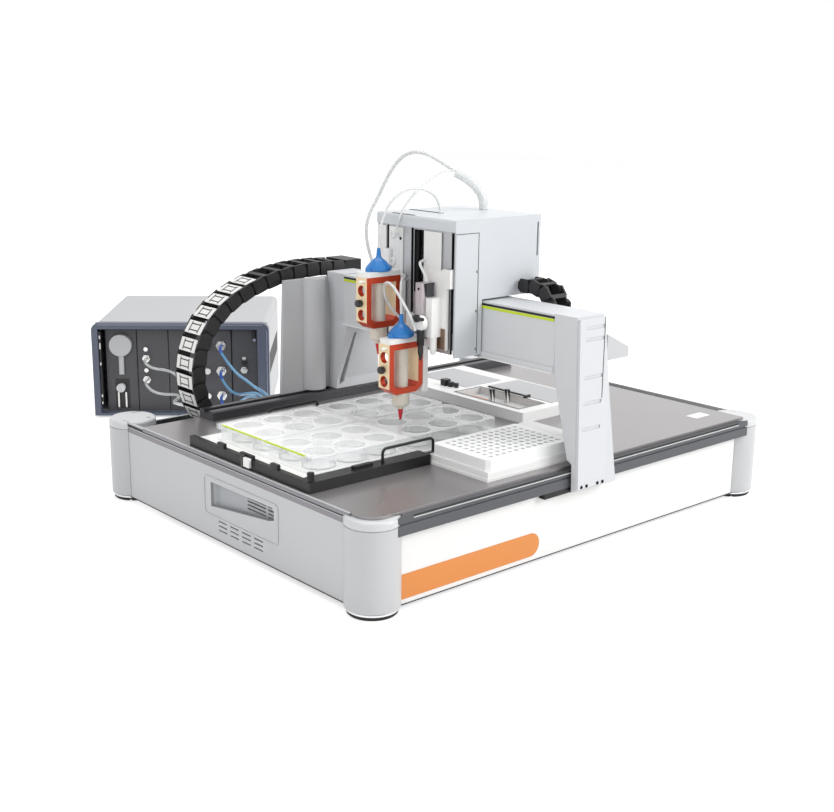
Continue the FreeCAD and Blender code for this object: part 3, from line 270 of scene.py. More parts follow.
front_coat = powder_coat("powder_coat_white", "#F4F4F3", 0.4)
side_coat = powder_coat("powder_coat_light_grey", "#CDCED0", 0.4)
dress(front_coat, "front_panel")
dress(side_coat, "side_panels")
pan_steel = metal("galvanised_sheet", "#8E9194", 0.42, 0.0008)
dress(pan_steel, "chassis", "chain_trough")
# Black for real seals and joints, also used as painted shade in the head's slots, the control case's side
# recess and under its front frame.
black_seal_and_shade = moulded("black_seal_and_painted_shade", "#0E0E0F", 0.6)


def rounded(y0, y1, z0, z1, radius, steps=6):
    """Corner points of a rounded rectangle in Y and Z."""
    points = []
    for y, z, first in ((y1 - radius, z1 - radius, 0), (y0 + radius, z1 - radius, 90),
                        (y0 + radius, z0 + radius, 180), (y1 - radius, z0 + radius, 270)):
        for i in range(steps + 1):
            a = math.radians(first + 90 * i / steps)
            points.append((y + radius * math.cos(a), z + radius * math.sin(a)))
    return points


def paint_where(name, material, test):
    """A second finish on the faces of a CAD node whose middle and normal, in millimetres, pass a test."""
    node = nodes[name]
    node.data.materials.append(material)
    last = len(node.data.materials) - 1
    place = node.matrix_world
    turned_by = place.to_3x3()
    for face in node.data.polygons:
        if test(place @ face.center * 1000, turned_by @ face.normal):
            face.material_index = last


# The faces in the grip recess are coloured a darker grey than the rest of the panel.
recess_darker_grey = powder_coat("powder_coat_recess_darker_grey", "#B2B5B8", 0.45)
paint_where("side_panels", recess_darker_grey,
            lambda at, facing: -299.4 < at.x < -290 and -90 < at.y < 30 and 40 < at.z < 71)
outer = rounded(-97, 40, 30.5, 74.5, 6)
inner = rounded(-95.4, 38.4, 32.1, 72.9, 5)
count = len(outer)
rim_points = [(x, y, z) for x in (-300.05, -300.75) for ring in (outer, inner) for y, z in ring]
rim_faces = []
for i in range(count):
    j = (i + 1) % count
    back_out, back_in, front_out, front_in = [(i + k * count, j + k * count) for k in range(4)]
    rim_faces += [back_out + back_in[::-1], (front_out[0], front_in[0], front_in[1], front_out[1]),
                  (back_out[0], front_out[0], front_out[1], back_out[1]), back_in + front_in[::-1]]
mesh_piece("recess_rim", rim_points, rim_faces, side_coat, "base", 0.15)
bars("panel_seals", [((-273, -240.2, 5.2), (273, -238.8, 6.4)), ((-300.2, -213, 5.2), (-298.8, 213, 6.4))],
     black_seal_and_shade, "base", 0)


# Power inlet in the rear panel. A moulded black socket with three flat,
# nickel plated pins, pressed into the panel's opening.

inlet_black = moulded("polyamide_inlet_black", "#19191A", 0.45)
rear_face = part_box("side_panels")[1][1] * 1000
socket_floor = rear_face - 7
bars("power_inlet", [((216.6, rear_face - 9, 18.6), (247.4, socket_floor, 43.4)),
                     ((216.6, socket_floor, 18.6), (219.6, rear_face, 43.4)),
                     ((244.4, socket_floor, 18.6), (247.4, rear_face, 43.4)),
                     ((219.6, socket_floor, 18.6), (244.4, rear_face, 21.6)),
                     ((219.6, socket_floor, 40.4), (244.4, rear_face, 43.4))], inlet_black, "base", 0.4)
inlet_nickel = metal("nickel_plated_pins", "#B9B4A6", 0.3)
bars("inlet_pins", [((x - 1, socket_floor, z - 2.2), (x + 1, rear_face - 1.2, z + 2.2))
                    for x, z in ((225, 29), (232, 33), (239, 29))], inlet_nickel, "base", 0.3)


# Name strip on the front panel, left bare: a printed polyester film in one
# orange tone, round at its free end, glued flat on the paint.

strip_orange = moulded("polyester_film_orange", "#DE8A3E", 0.38, 0.002, 0.02)
strip_end = -88
strip_half = 12.5
strip_middle = 23.5
strip_points = [(-262.5, 11), (strip_end, 11)]
strip_points += [(strip_end + strip_half * math.cos(a), strip_middle + strip_half * math.sin(a))
                 for a in [math.radians(-80 + 10 * i) for i in range(17)]]
strip_points += [(strip_end, 36), (-262.5, 36)]
count = len(strip_points)
mesh_piece("name_strip", [(x, y, z) for y in (-240.05, -240.45) for x, z in strip_points],
           [tuple(range(count)), tuple(range(count, 2 * count))]
           + [(i, (i + 1) % count, count + (i + 1) % count, count + i) for i in range(count)],
           strip_orange, "base", 0)


# Deck and rails. The deck is a thick aluminium plate, hard anodised to a warm
# grey; the front rail is a satin anodised extrusion, the rear one a dark one.
# Thin pale lines along the front rail and the deck's left edge are painted highlights.

def anodised(name, code, roughness=0.4, metallic=0.6, grain=0.0012):
    """Etched and anodised aluminium: a soft sheen with faint grain along X."""
    made, tree, place = blank(name)
    stretch = add(tree, "ShaderNodeMapping", {"Vector": place, "Scale": (0.05, 1.0, 1.0)})
    lines = add(tree, "ShaderNodeTexNoise", {"Vector": stretch.outputs["Vector"], "Scale": 1 / grain,
                                             "Detail": 3.0})
    cloud = add(tree, "ShaderNodeTexNoise", {"Vector": place, "Scale": 1 / 0.12, "Detail": 4.0})
    tint = add(tree, "ShaderNodeMixRGB", {"Fac": cloud.outputs["Fac"], "Color1": linear(code),
                                          "Color2": [c * 0.86 for c in linear(code)[:3]] + [1.0]})
    edge = add(tree, "ShaderNodeBevel", {"Radius": 0.0005}, samples=4)
    skin = add(tree, "ShaderNodeBump", {"Height": lines.outputs["Fac"], "Normal": edge.outputs["Normal"],
                                        "Strength": 0.06, "Distance": 0.0002})
    shader = add(tree, "ShaderNodeBsdfPrincipled", {"Base Color": tint.outputs["Color"], "Metallic": metallic,
                                                    "Roughness": roughness, "Normal": skin.outputs["Normal"]})
    close(tree, shader.outputs["BSDF"])
    return made


deck_finish = anodised("hard_anodised_aluminium_warm_grey", "#9A9798", 0.3, 0.55)
rail_finish = anodised("anodised_aluminium_grey", "#56585C", 0.42, 0.5)
dark_rail = anodised("anodised_aluminium_graphite", "#4C4B4F", 0.42, 0.5)
edge_grey = anodised("anodised_edge_profile", "#8A888E", 0.4, 0.4)
dress(deck_finish, "deck_plate")
dress(rail_finish, "front_rail")
dress(dark_rail, "rear_rail")
# Painted highlight: thin pale lines on the front rail's face and along the deck's left edge.
painted_highlight_line = moulded("painted_highlight_edge_line", "#C9CACB", 0.4)
bars("rail_lines", [((-255, -248.95, 94.2), (255, -248.6, 96.2))], black_seal_and_shade, "base", 0)
bars("rail_painted_highlight", [((-255, -249.1, 92.9), (255, -248.6, 94.1))], painted_highlight_line, "base", 0)
bars("rail_end_block", [((255.4, -246.5, 80.0), (257.0, -226, 95))], black_seal_and_shade, "base", 0.3)
bars("side_band", [((-300.6, -205, 85.2), (-299.9, 205, 90.6))], edge_grey, "base", 0)
bars("side_band_painted_highlight", [((-300.9, -205, 90.7), (-299.9, 205, 91.6))], painted_highlight_line, "base", 0)
bars("side_band_line", [((-300.7, -205, 91.7), (-299.9, 205, 94.4))], black_seal_and_shade, "base", 0)
bars("deck_edge_profile", [((-303.6, -215, 94.4), (-302.35, 162, 98.4))], edge_grey, "base", 0.3)
bars("deck_edge_painted_highlight", [((-303.9, -215, 98.5), (-302.3, 162, 99.5))], painted_highlight_line, "base", 0.2)
bars("deck_label", [((222, -212, 99.42), (250, -196, 99.6))], front_coat, "base", 0)
socket_heads("deck_screw", [(-262, -213, 99.3)], (0, 0, 1), 1.8, steel, "base")


# Culture plate tray. A black anodised frame carries a white acetal plate with
# cut corners; clips, a thumb block and two bent wire bails hold the plates.

tray_black = anodised("black_anodised_aluminium", "#121213", 0.42, 0.35)
acetal = moulded("white_acetal", "#F4F4F2", 0.3, 0.0008, 0.03)
black_wire = moulded("black_coated_wire", "#101010", 0.35)
dress(tray_black, "tray_frame", "tray_fittings")
dress(acetal, "tray_plate")
bars("thumb_block", [((-303.8, -52, 102), (-300.1, -41.5, 112))], acetal, "base", 0.8)
bars("thumb_block_end", [((-304.2, -41.3, 101), (-300.1, -38, 113.4))], black_wire, "base", 0.5)
turned("tray_end_post", [([(3.6, 0), (3.6, 8.6), (3.0, 9.2)], (-296.0, -145.8, 110.4), (0, 0, 1))],
       tray_black, "base")


# Culture plates and lids. Clear moulded polystyrene, glossy inside and out,
# with round wells; the left pair has loose lids marked by a yellow-green tape.
# A white ring at each well's top is a painted highlight, a grey ring near its
# floor painted shade.

def clear_resin(name, code, alpha, weight):
    """Clear moulded polystyrene: hard gloss on a thin wall, brighter where walls stand one behind another."""
    made, tree, place = blank(name)
    wave = add(tree, "ShaderNodeTexNoise", {"Vector": place, "Scale": 1 / 0.009, "Detail": 2.0})
    bump = add(tree, "ShaderNodeBump", {"Height": wave.outputs["Fac"], "Strength": 0.12, "Distance": 0.0006})
    shader = add(tree, "ShaderNodeBsdfPrincipled", {
        "Base Color": linear(code), "Roughness": 0.05, "IOR": 1.45, "Transmission Weight": weight,
        "Alpha": alpha, "Normal": bump.outputs["Normal"]})
    close(tree, shader.outputs["BSDF"])
    return made


styrene = clear_resin("clear_polystyrene", "#FFFFFF", 0.55, 0.4)
styrene_wall = clear_resin("clear_polystyrene_wall", "#EDF0F1", 0.4, 0.3)
styrene_floor = clear_resin("clear_polystyrene_floor", "#FFFFFF", 0.22, 0.1)
# Painted highlight rings for the wells' tops and painted shade rings for their floors.
highlight_rim_resin = clear_resin("clear_polystyrene_painted_highlight", "#FFFFFF", 0.9, 0.1)
shade_ring_resin = clear_resin("clear_polystyrene_painted_shade", "#8E9499", 0.55, 0.1)
styrene_lid = clear_resin("clear_polystyrene_lid", "#FFFFFF", 0.26, 0.3)
styrene_skirt = clear_resin("clear_polystyrene_skirt", "#F2F5F6", 0.32, 0.3)
dress(styrene, "well_plates_left", "well_plates_right")
dress(styrene_lid, "lid_front", "lid_rear")
well_pitch = 39.12
well_rows = (-104.82, -65.7, -18.74, 20.38)
highlight_rings = [(16.7, -1.0), (17.35, -1.0), (17.35, -0.1), (16.7, -0.1), (16.7, -1.0)]
shade_rings = [(16.5, -15.4), (17.3, -15.4), (17.3, -13.6), (16.5, -15.4)]
for name in ("well_plates_left", "well_plates_right"):
    low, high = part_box(name)
    top = high[2] * 1000
    middle = (low[0] + high[0]) * 500
    paint_where(name, styrene_wall, lambda at, facing: abs(facing.z) < 0.5)
    paint_where(name, styrene_floor, lambda at, facing: facing.z > 0.5 and at.z < top - 8)
    wells = [(middle + i * well_pitch, y, top) for i in (-1, 0, 1) for y in well_rows]
    for part, rings, resin in (("_painted_highlight_rims", highlight_rings, highlight_rim_resin), ("_painted_shade_rings", shade_rings, shade_ring_resin)):
        hoops = turned(name + part, [(rings, well, (0, 0, 1)) for well in wells], resin, "base", 48)
        hoops.visible_shadow = False
for name in ("lid_front", "lid_rear"):
    paint_where(name, styrene_skirt, lambda at, facing: abs(facing.z) < 0.5)
for name in ("well_plates_left", "well_plates_right", "lid_front", "lid_rear"):
    nodes[name].visible_shadow = False
tape = moulded("yellow_green_tape", "#CBE01E", 0.45, 0.002, 0.02)
bars("lid_front_tape", [((-281.2, -115, 125.1), (-279.0, -44.5, 126.3))], tape, "lid_front_body", 0.2)
bars("lid_rear_tape", [((-281.2, -40, 125.1), (-279.0, 32, 126.3))], tape, "lid_rear_body", 0.2)


# Small-well plate on its heating block. The plate is moulded in white
# polystyrene with 96 round wells 9 mm apart, and lies loose on a block that
# is milled from white engineering plastic.

milled = moulded("white_peek_block", "#F1F1F0", 0.35, 0.001, 0.04)
dress(milled, "plate_adapter")
frosted = moulded("white_polystyrene", "#F6F7F7", 0.2, 0.002, 0.02)
dress(frosted, "micro_plate")


# Wash and dispensing station. A white polyethylene block with a dark front,
# two grey plates, and a black framed trough with an orange level strip.

polyethylene = moulded("white_polyethylene", "#F2F2F1", 0.42)
black_abs = moulded("black_abs", "#0F0F10", 0.38)
plate_grey = anodised("anodised_plate_grey", "#B4B5B8", 0.35, 0.5)
dress(polyethylene, "wash_station")
dress(black_abs, "station_fittings")
trough_liner = moulded("trough_liner_grey", "#D6D6D5", 0.4)
paint_where("station_fittings", trough_liner, lambda at, facing: at.z < 111.9)
bars("station_plates", [((82.0, 37.0, 111.1), (144.4, 126.4, 112.3)),
                        ((107.0, -85.4, 111.1), (162.4, 25.4, 112.3))], plate_grey, "base", 0.5)
level_strip = moulded("level_strip_orange", "#E08A6A", 0.4)
bars("station_strip", [((70, -80, 104.1), (78, -30, 105.0)),
                       ((72, -10, 104.1), (80, 22, 105.0))], level_strip, "base", 0.3)
bars("station_front", [((122, -98.7, 99.6), (165.4, -98.05, 111.2))], plate_grey, "base", 0.2)
bars("station_wire", [((110, -103.2, 100.6), (136, -102.2, 101.6)),
                      ((110, -103.2, 100.6), (111, -98.2, 101.6)),
                      ((135, -103.2, 100.6), (136, -98.2, 101.6))], black_wire, "base", 0.3)
bars("station_rods", [((102.6, -48, 112.5), (104.6, 19, 114.5)),
                      ((98, -50, 112.4), (108, -47, 115.5))], black_abs, "base", 0.5)


# Gantry legs, covers and beam. Folded aluminium sheet, powder coated pale
# grey; the beam's top edge has a black cable slot and a signal green strip.

gantry_coat = powder_coat("powder_coat_gantry_grey", "#D8DADD", 0.4)
cover_coat = powder_coat("powder_coat_cover_grey", "#C9CACC", 0.42)
dress(gantry_coat, "near_leg", "near_leg_cover", "beam", "far_leg")
dress(cover_coat, "far_leg_cover", "y_chain_tray")
dress(tray_black, "gantry_runners")
bars("beam_slot", [((-47.65, -224, 251.3), (-47.2, 119, 253.4))], black_seal_and_shade, "gantry", 0)
bars("beam_strip", [((-47.9, -224, 248.3), (-47.2, 119, 251.0))], tape, "gantry", 0)
bars("beam_lip", [((-50.4, -224, 194.6), (-40, 119, 195.9))], front_coat, "gantry", 0.2)
bars("leg_joint", [((-9.0, -258.25, 170), (-8.2, -257.9, 254))], black_seal_and_shade, "gantry", 0)
leg_face = -258.0
socket_heads("leg_screws", [(x, leg_face, 78.6) for x in (-34, -26, -9, -1)], (0, -1, 0), 1.8, black_steel,
             "gantry")


# Head housing. A folded sheet box round the drives, with a service door line,
# a cable slot at its rear and the cable grommets on top.

head_coat = powder_coat("powder_coat_head_grey", "#D4D8DC", 0.4)
face_grey = anodised("anodised_aluminium_light", "#B9BABD", 0.36, 0.5)
head_white = powder_coat("powder_coat_head_white", "#F0F0EE", 0.38)
dress(head_coat, "head_housing")
dress(face_grey, "head_columns")
# Painted shade: every face of the columns behind their front face, inside the slots, is coloured black.
paint_where("head_columns", black_seal_and_shade, lambda at, facing: at.x > -87.8)
dress(acetal, "front_slide", "rear_slide")
bars("door_line", [((-56.1, -121.2, 200), (-55.4, -120.9, 329)),
                   ((-88, -121.2, 328.4), (-55.4, -120.9, 329))], black_seal_and_shade, "head", 0)
socket_heads("door_screws", [(-57.5, -121.0, z) for z in (205, 246, 288)], (0, -1, 0), 1.5, steel, "head")
bars("top_grommets", [((-46.5, -52, 342.9), (-43.0, 2, 343.4)),
                      ((-87, -52, 342.9), (-84, -16, 343.4))], black_seal_and_shade, "head", 0.2)
head_face = -89.4
bars("face_white_panels", [((-89.6, -100, 262), (-88.1, -72, 329)),
                           ((head_face, -37.5, 204), (-88.1, -14.5, 329)),
                           ((head_face, -9.5, 204), (-88.1, 3.6, 329))], head_white, "head", 0.3)
socket_heads("face_screws", [(head_face, -34, z) for z in (317, 220)], (-1, 0, 0), 1.7, black_steel, "head")
knob_rings = [(5, 0), (5, 1.6), (4.2, 2.4), (2.2, 2.4), (2.0, 1.2)]
turned("face_knobs", [(knob_rings, (head_face, -22, z), (-1, 0, 0)) for z in (321, 291)], head_white, "head")


# Near tool. A milled slide block carries a printed dispenser with a round
# coil, a tapered tip and a small black release lever.

pink_grey = anodised("anodised_aluminium_rose", "#C3BBBF", 0.4, 0.35)
dress(pink_grey, "tool_slide")
paint_where("tool_slide", head_white, lambda at, facing: at.x > -93.7)
paint_where("tool_slide", dark_rail, lambda at, facing: at.y < -95.9 and at.x < -94 and at.z > 262)
dress(acetal, "tool_gripper")
paint_where("tool_gripper", black_abs, lambda at, facing: at.x < -110 and at.z < 229)
dress(black_abs, "tool_lever")
bronze = metal("sintered_bronze", "#8C7868", 0.45)
bars("tool_guide", [((-94.5, -112, 206.5), (-93.5, -99.5, 229))], bronze, "near_tool", 0.3)
bars("tool_guide_stop", [((-94.7, -98.5, 206.5), (-93.5, -95, 219))], black_seal_and_shade, "near_tool", 0.2)
socket_heads("tool_screws", [(-112, -90, z) for z in (234, 271)], (-1, 0, 0), 1.3, black_steel, "near_tool")


# Cartridges. Each is a red anodised frame with a window, round a cream barrel
# that ends in a red tapered nozzle, closed by a blue winged screw cap.

def translucent(name, code, roughness, weight):
    """Milky moulded polypropylene that lets light through."""
    made, tree, place = blank(name)
    cloud = add(tree, "ShaderNodeTexNoise", {"Vector": place, "Scale": 1 / 0.02, "Detail": 2.0})
    tint = add(tree, "ShaderNodeMixRGB", {"Fac": cloud.outputs["Fac"], "Color1": linear(code),
                                          "Color2": [c * 0.9 for c in linear(code)[:3]] + [1.0]})
    inputs = {"Base Color": tint.outputs["Color"], "Roughness": roughness, "IOR": 1.49,
              "Transmission Weight": weight}
    close(tree, add(tree, "ShaderNodeBsdfPrincipled", inputs).outputs["BSDF"])
    return made


holder_red = anodised("anodised_aluminium_red_orange", "#CC4522", 0.38, 0.3)
holder_cream = moulded("glass_ceramic_cream", "#F6DDB4", 0.35, 0.001, 0.04)
barrel_cream = translucent("natural_polypropylene", "#E8E2D4", 0.3, 0.15)
cap_blue = translucent("blue_polypropylene", "#2A86D6", 0.25, 0.1)
nozzle_red = translucent("red_polypropylene", "#D22F3C", 0.25, 0.1)
dress(holder_red, "front_holder", "rear_holder")
paint_where("front_holder", holder_cream, lambda at, facing: facing.x < -0.9)
paint_where("rear_holder", holder_cream, lambda at, facing: facing.x < -0.9)
dress(barrel_cream, "front_barrel", "rear_barrel")
dress(cap_blue, "front_cap", "rear_cap")
dress(black_abs, "front_thumb_screw", "rear_thumb_screw")
collar_above = 54.9
nozzle_below = 18.4
for name, foot in (("front_barrel", 158.5), ("rear_barrel", 224.5)):
    paint_where(name, acetal, lambda at, facing: at.z > foot + collar_above)
    paint_where(name, nozzle_red, lambda at, facing: at.z < foot - nozzle_below)
nipple_rings = [(0.8, 0), (0.8, 5), (1.6, 5.2), (1.6, 7.5), (0.9, 8)]
turned("front_holder_fitting", [(nipple_rings, (-145.4, -80, 210), (-1, 0, 0))], acetal, "front_tool", 16)
turned("rear_holder_fitting", [(nipple_rings, (-145.4, -42, 276), (-1, 0, 0))], acetal, "rear_tool", 16)


# Energy chains. Black nylon links that snap into each other; the outer bars
# are white snap-on lids, so the outside of the long chain looks pale.

nylon = moulded("glass_filled_nylon_black", "#1B1A1C", 0.5, 0.0008, 0.15)
lid_white = moulded("nylon_lid_white", "#F1F1EF", 0.4)


def bends(made, a, b, start, end):
    """A piece that runs from one body to the next; its placement is baked into its mesh and nothing here
    bends it.
    Its bodies and its ends, in millimetres, are not used.
    """
    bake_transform(made)


def bending_copy(name, node, material, a, b, start, end):
    """The CAD node's own shape, as a copy that takes the place of the hidden node."""
    mesh = nodes[node].data.copy()
    mesh.transform(nodes[node].matrix_world)
    mesh.materials.clear()
    mesh.materials.append(material)
    made = bpy.data.objects.new(name, mesh)
    scene.collection.objects.link(made)
    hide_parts(node)
    bends(made, a, b, start, end)


x_chain_reach = ((-200, 184, 55), (-200, 184, 250))
bending_copy("x_chain_links", "x_energy_chain", nylon, "base", "gantry", *x_chain_reach)
bending_copy("y_chain_links", "y_energy_chain", nylon, "gantry", "head", (18, -140, 217), (18, -140, 267))


def link_block(link, points, faces, along, across_chain, outward):
    """Adds a block in a link's own directions, each given as its first and last place in millimetres."""
    start, on, out = link
    first_point = len(points)
    for height in outward:
        for y in across_chain:
            for distance in along:
                place = start + on * distance + out * height
                points.append((place.x, y, place.z))
    faces += [tuple(i + first_point for i in face) for face in brick((0, 0, 0), (1, 1, 1))[1]]


chain_pitch = 20.0
chain_near = 164.2
chain_far = 204.2
chain_half = 8.5
first_lid = 6
chain_turns = [-3, 0, 3, 7, 11, 15, 20, 26, 34, 44, 56, 69, 81, 93, 107, 118, 129, 141, 153, 165, 174]
chain_turns += [180] * 3
lid_mesh = ([], [])
rib_mesh = ([], [])
start = Vector((-18.0, 0, 257.0))
for order, heading in enumerate(math.radians(turn) for turn in chain_turns):
    on = Vector((-math.cos(heading), 0, -math.sin(heading)))
    out = Vector((-math.sin(heading), 0, math.cos(heading)))
    link = (start, on, out)
    if order >= first_lid:
        link_block(link, *lid_mesh, (2.4, 18.2), (chain_near + 3.2, chain_far - 3.2),
                   (chain_half - 0.6, chain_half + 0.4))
        for y in (chain_near + 10.0, chain_far - 12.0):
            link_block(link, *rib_mesh, (4.0, 16.6), (y, y + 1.6), (chain_half + 0.3, chain_half + 0.7))
        for along in (5.6, 13.4):
            link_block(link, *rib_mesh, (along, along + 1.4), (chain_near + 11, chain_far - 12),
                       (chain_half + 0.3, chain_half + 0.65))
    start = start + on * chain_pitch
for name, mesh, material in (("x_chain_lids", lid_mesh, lid_white), ("x_chain_lid_ribs", rib_mesh, nylon)):
    bends(mesh_piece(name, *mesh, material, None, 0.2), "base", "gantry", *x_chain_reach)


# Control unit. A powder coated steel case with a moulded blue-grey front
# frame, five black plug-in modules, a painted pressure gauge with its valve,
# and nickel plated air ports.

case_coat = powder_coat("powder_coat_case_grey", "#C2C3C5", 0.42)
bezel = moulded("abs_blue_grey", "#555B6C", 0.36)
module_face = moulded("abs_charcoal", "#4A4A4E", 0.45, 0.0008, 0.15)
dress(case_coat, "control_case")
dress(bezel, "control_bezel")
dress(module_face, "control_modules")
port_metal = metal("nickel_plated_brass", "#D8D8D6", 0.2)
dress(port_metal, "control_fittings")
dress(black_abs, "selector_button")
unit_along = Vector((0.782608, -0.622515, 0))
unit_back = Vector((0.622515, 0.782608, 0))


def on_unit(along, back, height):
    """World place in millimetres of a point in the control unit's own directions."""
    return Vector((-153.5, 577.0, height)) + unit_along * along + unit_back * back


def unit_bars(name, boxes, material, width=0.2):
    """Small blocks square to the control unit."""
    points = []
    faces = []
    for low, high in boxes:
        corners, block_faces = brick(low, high)
        faces += [tuple(i + len(points) for i in face) for face in block_faces]
        points += [on_unit(*corner) for corner in corners]
    return mesh_piece(name, points, faces, material, "base", width)


gauge_grey = moulded("painted_gauge_grey", "#BDBEC0", 0.45)
gauge_white = moulded("polycarbonate_dial_white", "#DADBDC", 0.35)
dress(gauge_white, "regulator_knob")
first_module_end = on_unit(60, 0, 0).dot(unit_along)
paint_where("control_fittings", gauge_grey,
            lambda at, facing: at.dot(unit_along) < first_module_end and at.z > 50)
unit_bars("valve_block", [((28, 17.78, 10), (49, 18.1, 55))], black_abs, 0)
unit_bars("stem_edge", [((38.5, 12.7, 62.5), (39.3, 13.05, 89))], gauge_white, 0)
# Painted highlight: pale lines along the front frame's top and right edges. The same pale colour is used for
# the latch pin.
pale_abs_and_highlight = moulded("abs_pale_and_painted_highlight", "#9EA3B4", 0.35)
unit_bars("bezel_painted_highlights", [((9, -0.3, 138.2), (247, 0.2, 139.0)),
                          ((252.6, -0.3, 8), (253.4, 0.2, 131))], pale_abs_and_highlight, 0)
unit_bars("bezel_shadow", [((9.2, 10, 131.0), (238.8, 12.5, 131.9)),
                           ((237.8, 3, 7.5), (238.9, 12.5, 131))], black_seal_and_shade, 0)
unit_bars("case_outline", [((3, 14.05, 139.2), (253, 15.2, 139.75))], black_seal_and_shade, 0)
# Painted shade: a black patch on the case's right side where its recess looks dark.
unit_bars("case_side_painted_shade", [((253.2, 31, 57), (253.9, 225, 87))], black_seal_and_shade, 0)
unit_bars("left_rail", [((9.4, 4, 20), (12.6, 12, 128))], black_abs, 0.4)
rail_marks = ((102, 9), (117, 5), (78, 4), (30, 4), (20, 3))
unit_bars("left_rail_details", [((10, 3.2, z), (12, 4.2, z + tall)) for z, tall in rail_marks],
          lid_white, 0.2)
unit_bars("right_latch", [((230.5, 8, 112), (236, 12, 128))], black_abs, 0.4)
unit_bars("right_latch_pin", [((232, 7.2, 113), (236.5, 8.2, 117))], pale_abs_and_highlight, 0.3)
unit_bars("module_mark", [((215.4, 17.2, 81.5), (220.6, 18.1, 87.5))], lid_white, 0.2)


# Air lines. Soft polyurethane tubing, blue from the fourth module and white
# from the second, that sags over the base's rear edge into the clamp.

blue_pu = translucent("polyurethane_tube_blue", "#86C3EC", 0.2, 0.35)
sleeve_blue = moulded("tube_sleeve_deep_blue", "#3A5FBE", 0.35)
white_pu = translucent("polyurethane_tube_white", "#EEF0F0", 0.25, 0.35)


def air_line(name, points, radius, material, body, *replaced):
    """A tube along a smooth spline through its control points, in millimetres."""
    curve = bpy.data.curves.new(name, "CURVE")
    curve.dimensions = "3D"
    spline = curve.splines.new("NURBS")
    spline.points.add(len(points) - 1)
    for point, place in zip(spline.points, points):
        point.co = (place[0] / 1000, place[1] / 1000, place[2] / 1000, 1)
    spline.order_u = 3
    spline.use_endpoint_u = True
    curve.bevel_depth = radius / 1000
    curve.bevel_resolution = 5
    curve.use_fill_caps = True
    curve.resolution_u = 12
    curve.materials.append(material)
    made = bpy.data.objects.new(name, curve)
    scene.collection.objects.link(made)
    if body:
        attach(made, body)
    if body and replaced:
        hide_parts(*replaced)
    return made


def control_line(name, node, mouth, over_bench, heights, clamp, material):
    """An air line from its port, over the bench and down into the clamp in the trough; returns its route."""
    start, ahead, port_height = mouth
    route = [(*start, port_height), (*ahead, port_height)]
    route += [(x, y, z) for (x, y), z in zip(over_bench, heights)]
    route += [(clamp, 230.5, 83), (clamp, 226, 66.85)]
    made = air_line(name, route, 2.0, material, "base", node)
    return route


blue_lines = ((105.8, (101, 98, 95, 93, 92, 90.5), -80.0, 0.2669),
              (67.8, (62, 62, 67, 76, 85, 90), -88.5, 0.2718),
              (30.4, (26, 32, 46, 62, 79, 89.5), -97.0, 0.2838))
for number, (port, heights, clamp, length) in enumerate(blue_lines, 1):
    mouth = ((-5.87, 465.575), (-17.075, 451.488), port)
    over_bench = ((-33, 412), (-48, 374), (-61, 337), (clamp + 12, 303), (clamp + 3, 273), (clamp, 247))
    route = control_line(f"blue_line_{number}", f"blue_air_line_{number}", mouth, over_bench, heights, clamp,
                         blue_pu)
    half = [(a + b) / 2 for a, b in zip(route[1], route[2])]
    air_line(f"blue_sleeve_{number}", [route[0], route[1], half], 2.15, sleeve_blue, "base")

white_lines = ((85.7, (82, 86, 90, 91, 90, 92, 91), -182.0, 0.3429),
               (54.0, (47, 50, 60, 68, 76, 84, 90), -193.0, 0.3517))
for number, (port, heights, clamp, length) in enumerate(white_lines, 1):
    mouth = ((-89.855, 536.213), (-101.060, 522.126), port)
    over_bench = ((-104, 492), (-103, 458), (-112, 416), (-131, 370), (clamp + 24, 326), (clamp + 7, 284),
                  (clamp, 248))
    control_line(f"white_line_{number}", f"white_air_line_{number}", mouth, over_bench, heights, clamp,
                 white_pu)


# Lines on the head. Clear tubing from the caps and the near tool into the
# head, and a corrugated sleeve whose line loops down to the beam's far end.

clear_pu = translucent("polyurethane_tube_clear", "#F6F8F8", 0.18, 0.3)


def head_line(name, points, radius, a, b, start, end, *replaced):
    """A tube along its route, kept as a mesh; nothing here bends it or ties it to a body.
    The two bodies and the ends are not used.
    """
    made = air_line(name, points, radius, clear_pu, None, *replaced)
    mesh = bpy.data.meshes.new_from_object(made)
    tube = bpy.data.objects.new(name + "_tube", mesh)
    scene.collection.objects.link(tube)
    if replaced:
        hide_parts(*replaced)
    bpy.data.objects.remove(made)
    for face in mesh.polygons:
        face.use_smooth = True
    bends(tube, a, b, start, end)
    return tube


loop_reach = ((-14, 100, 260), (-4, 0, 380))
sleeve_route = [(23.2, -46, 343.3), (23.2, -46, 355.5), (18.5, -39, 367.5), (10, -31, 377.5),
                (0.7, -22.5, 383.5)]
head_line("sleeve", sleeve_route, 5.0, "gantry", "head", *loop_reach, "umbilical")
loop_route = [(-14, 100, 256.35), (-20, 99, 272), (-30, 95, 290), (-36, 92, 312), (-33, 89, 331),
              (-24, 82, 352), (-20, 70, 376), (-17, 54, 396), (-12, 36, 405), (-8, 17, 403),
              (-4.4, 0, 396.5), (-1.0, -19.5, 387)]
head_line("loop", loop_route, 2.0, "gantry", "head", *loop_reach)
rear_route = [(-122, -36, 309.3), (-121.4, -36.4, 325), (-117, -38, 345), (-105, -41, 363), (-85, -45, 372),
              (-64, -49, 369), (-50, -51.5, 358), (-48, -52, 343.3)]
head_line("rear_cap_tube", rear_route, 1.4, "rear_tool", "head", (-122, -36, 309), (-50, -52, 345),
          "rear_cap_line")
front_route = [(-122, -74, 243.3), (-121.5, -73, 254), (-119, -69, 267), (-113, -63, 276), (-104, -56, 278),
               (-95, -50.5, 275), (-88.85, -48.5, 273.8)]
head_line("front_cap_tube", front_route, 1.4, "front_tool", "head", (-121, -73, 250), (-90, -49, 274),
          "front_cap_line")
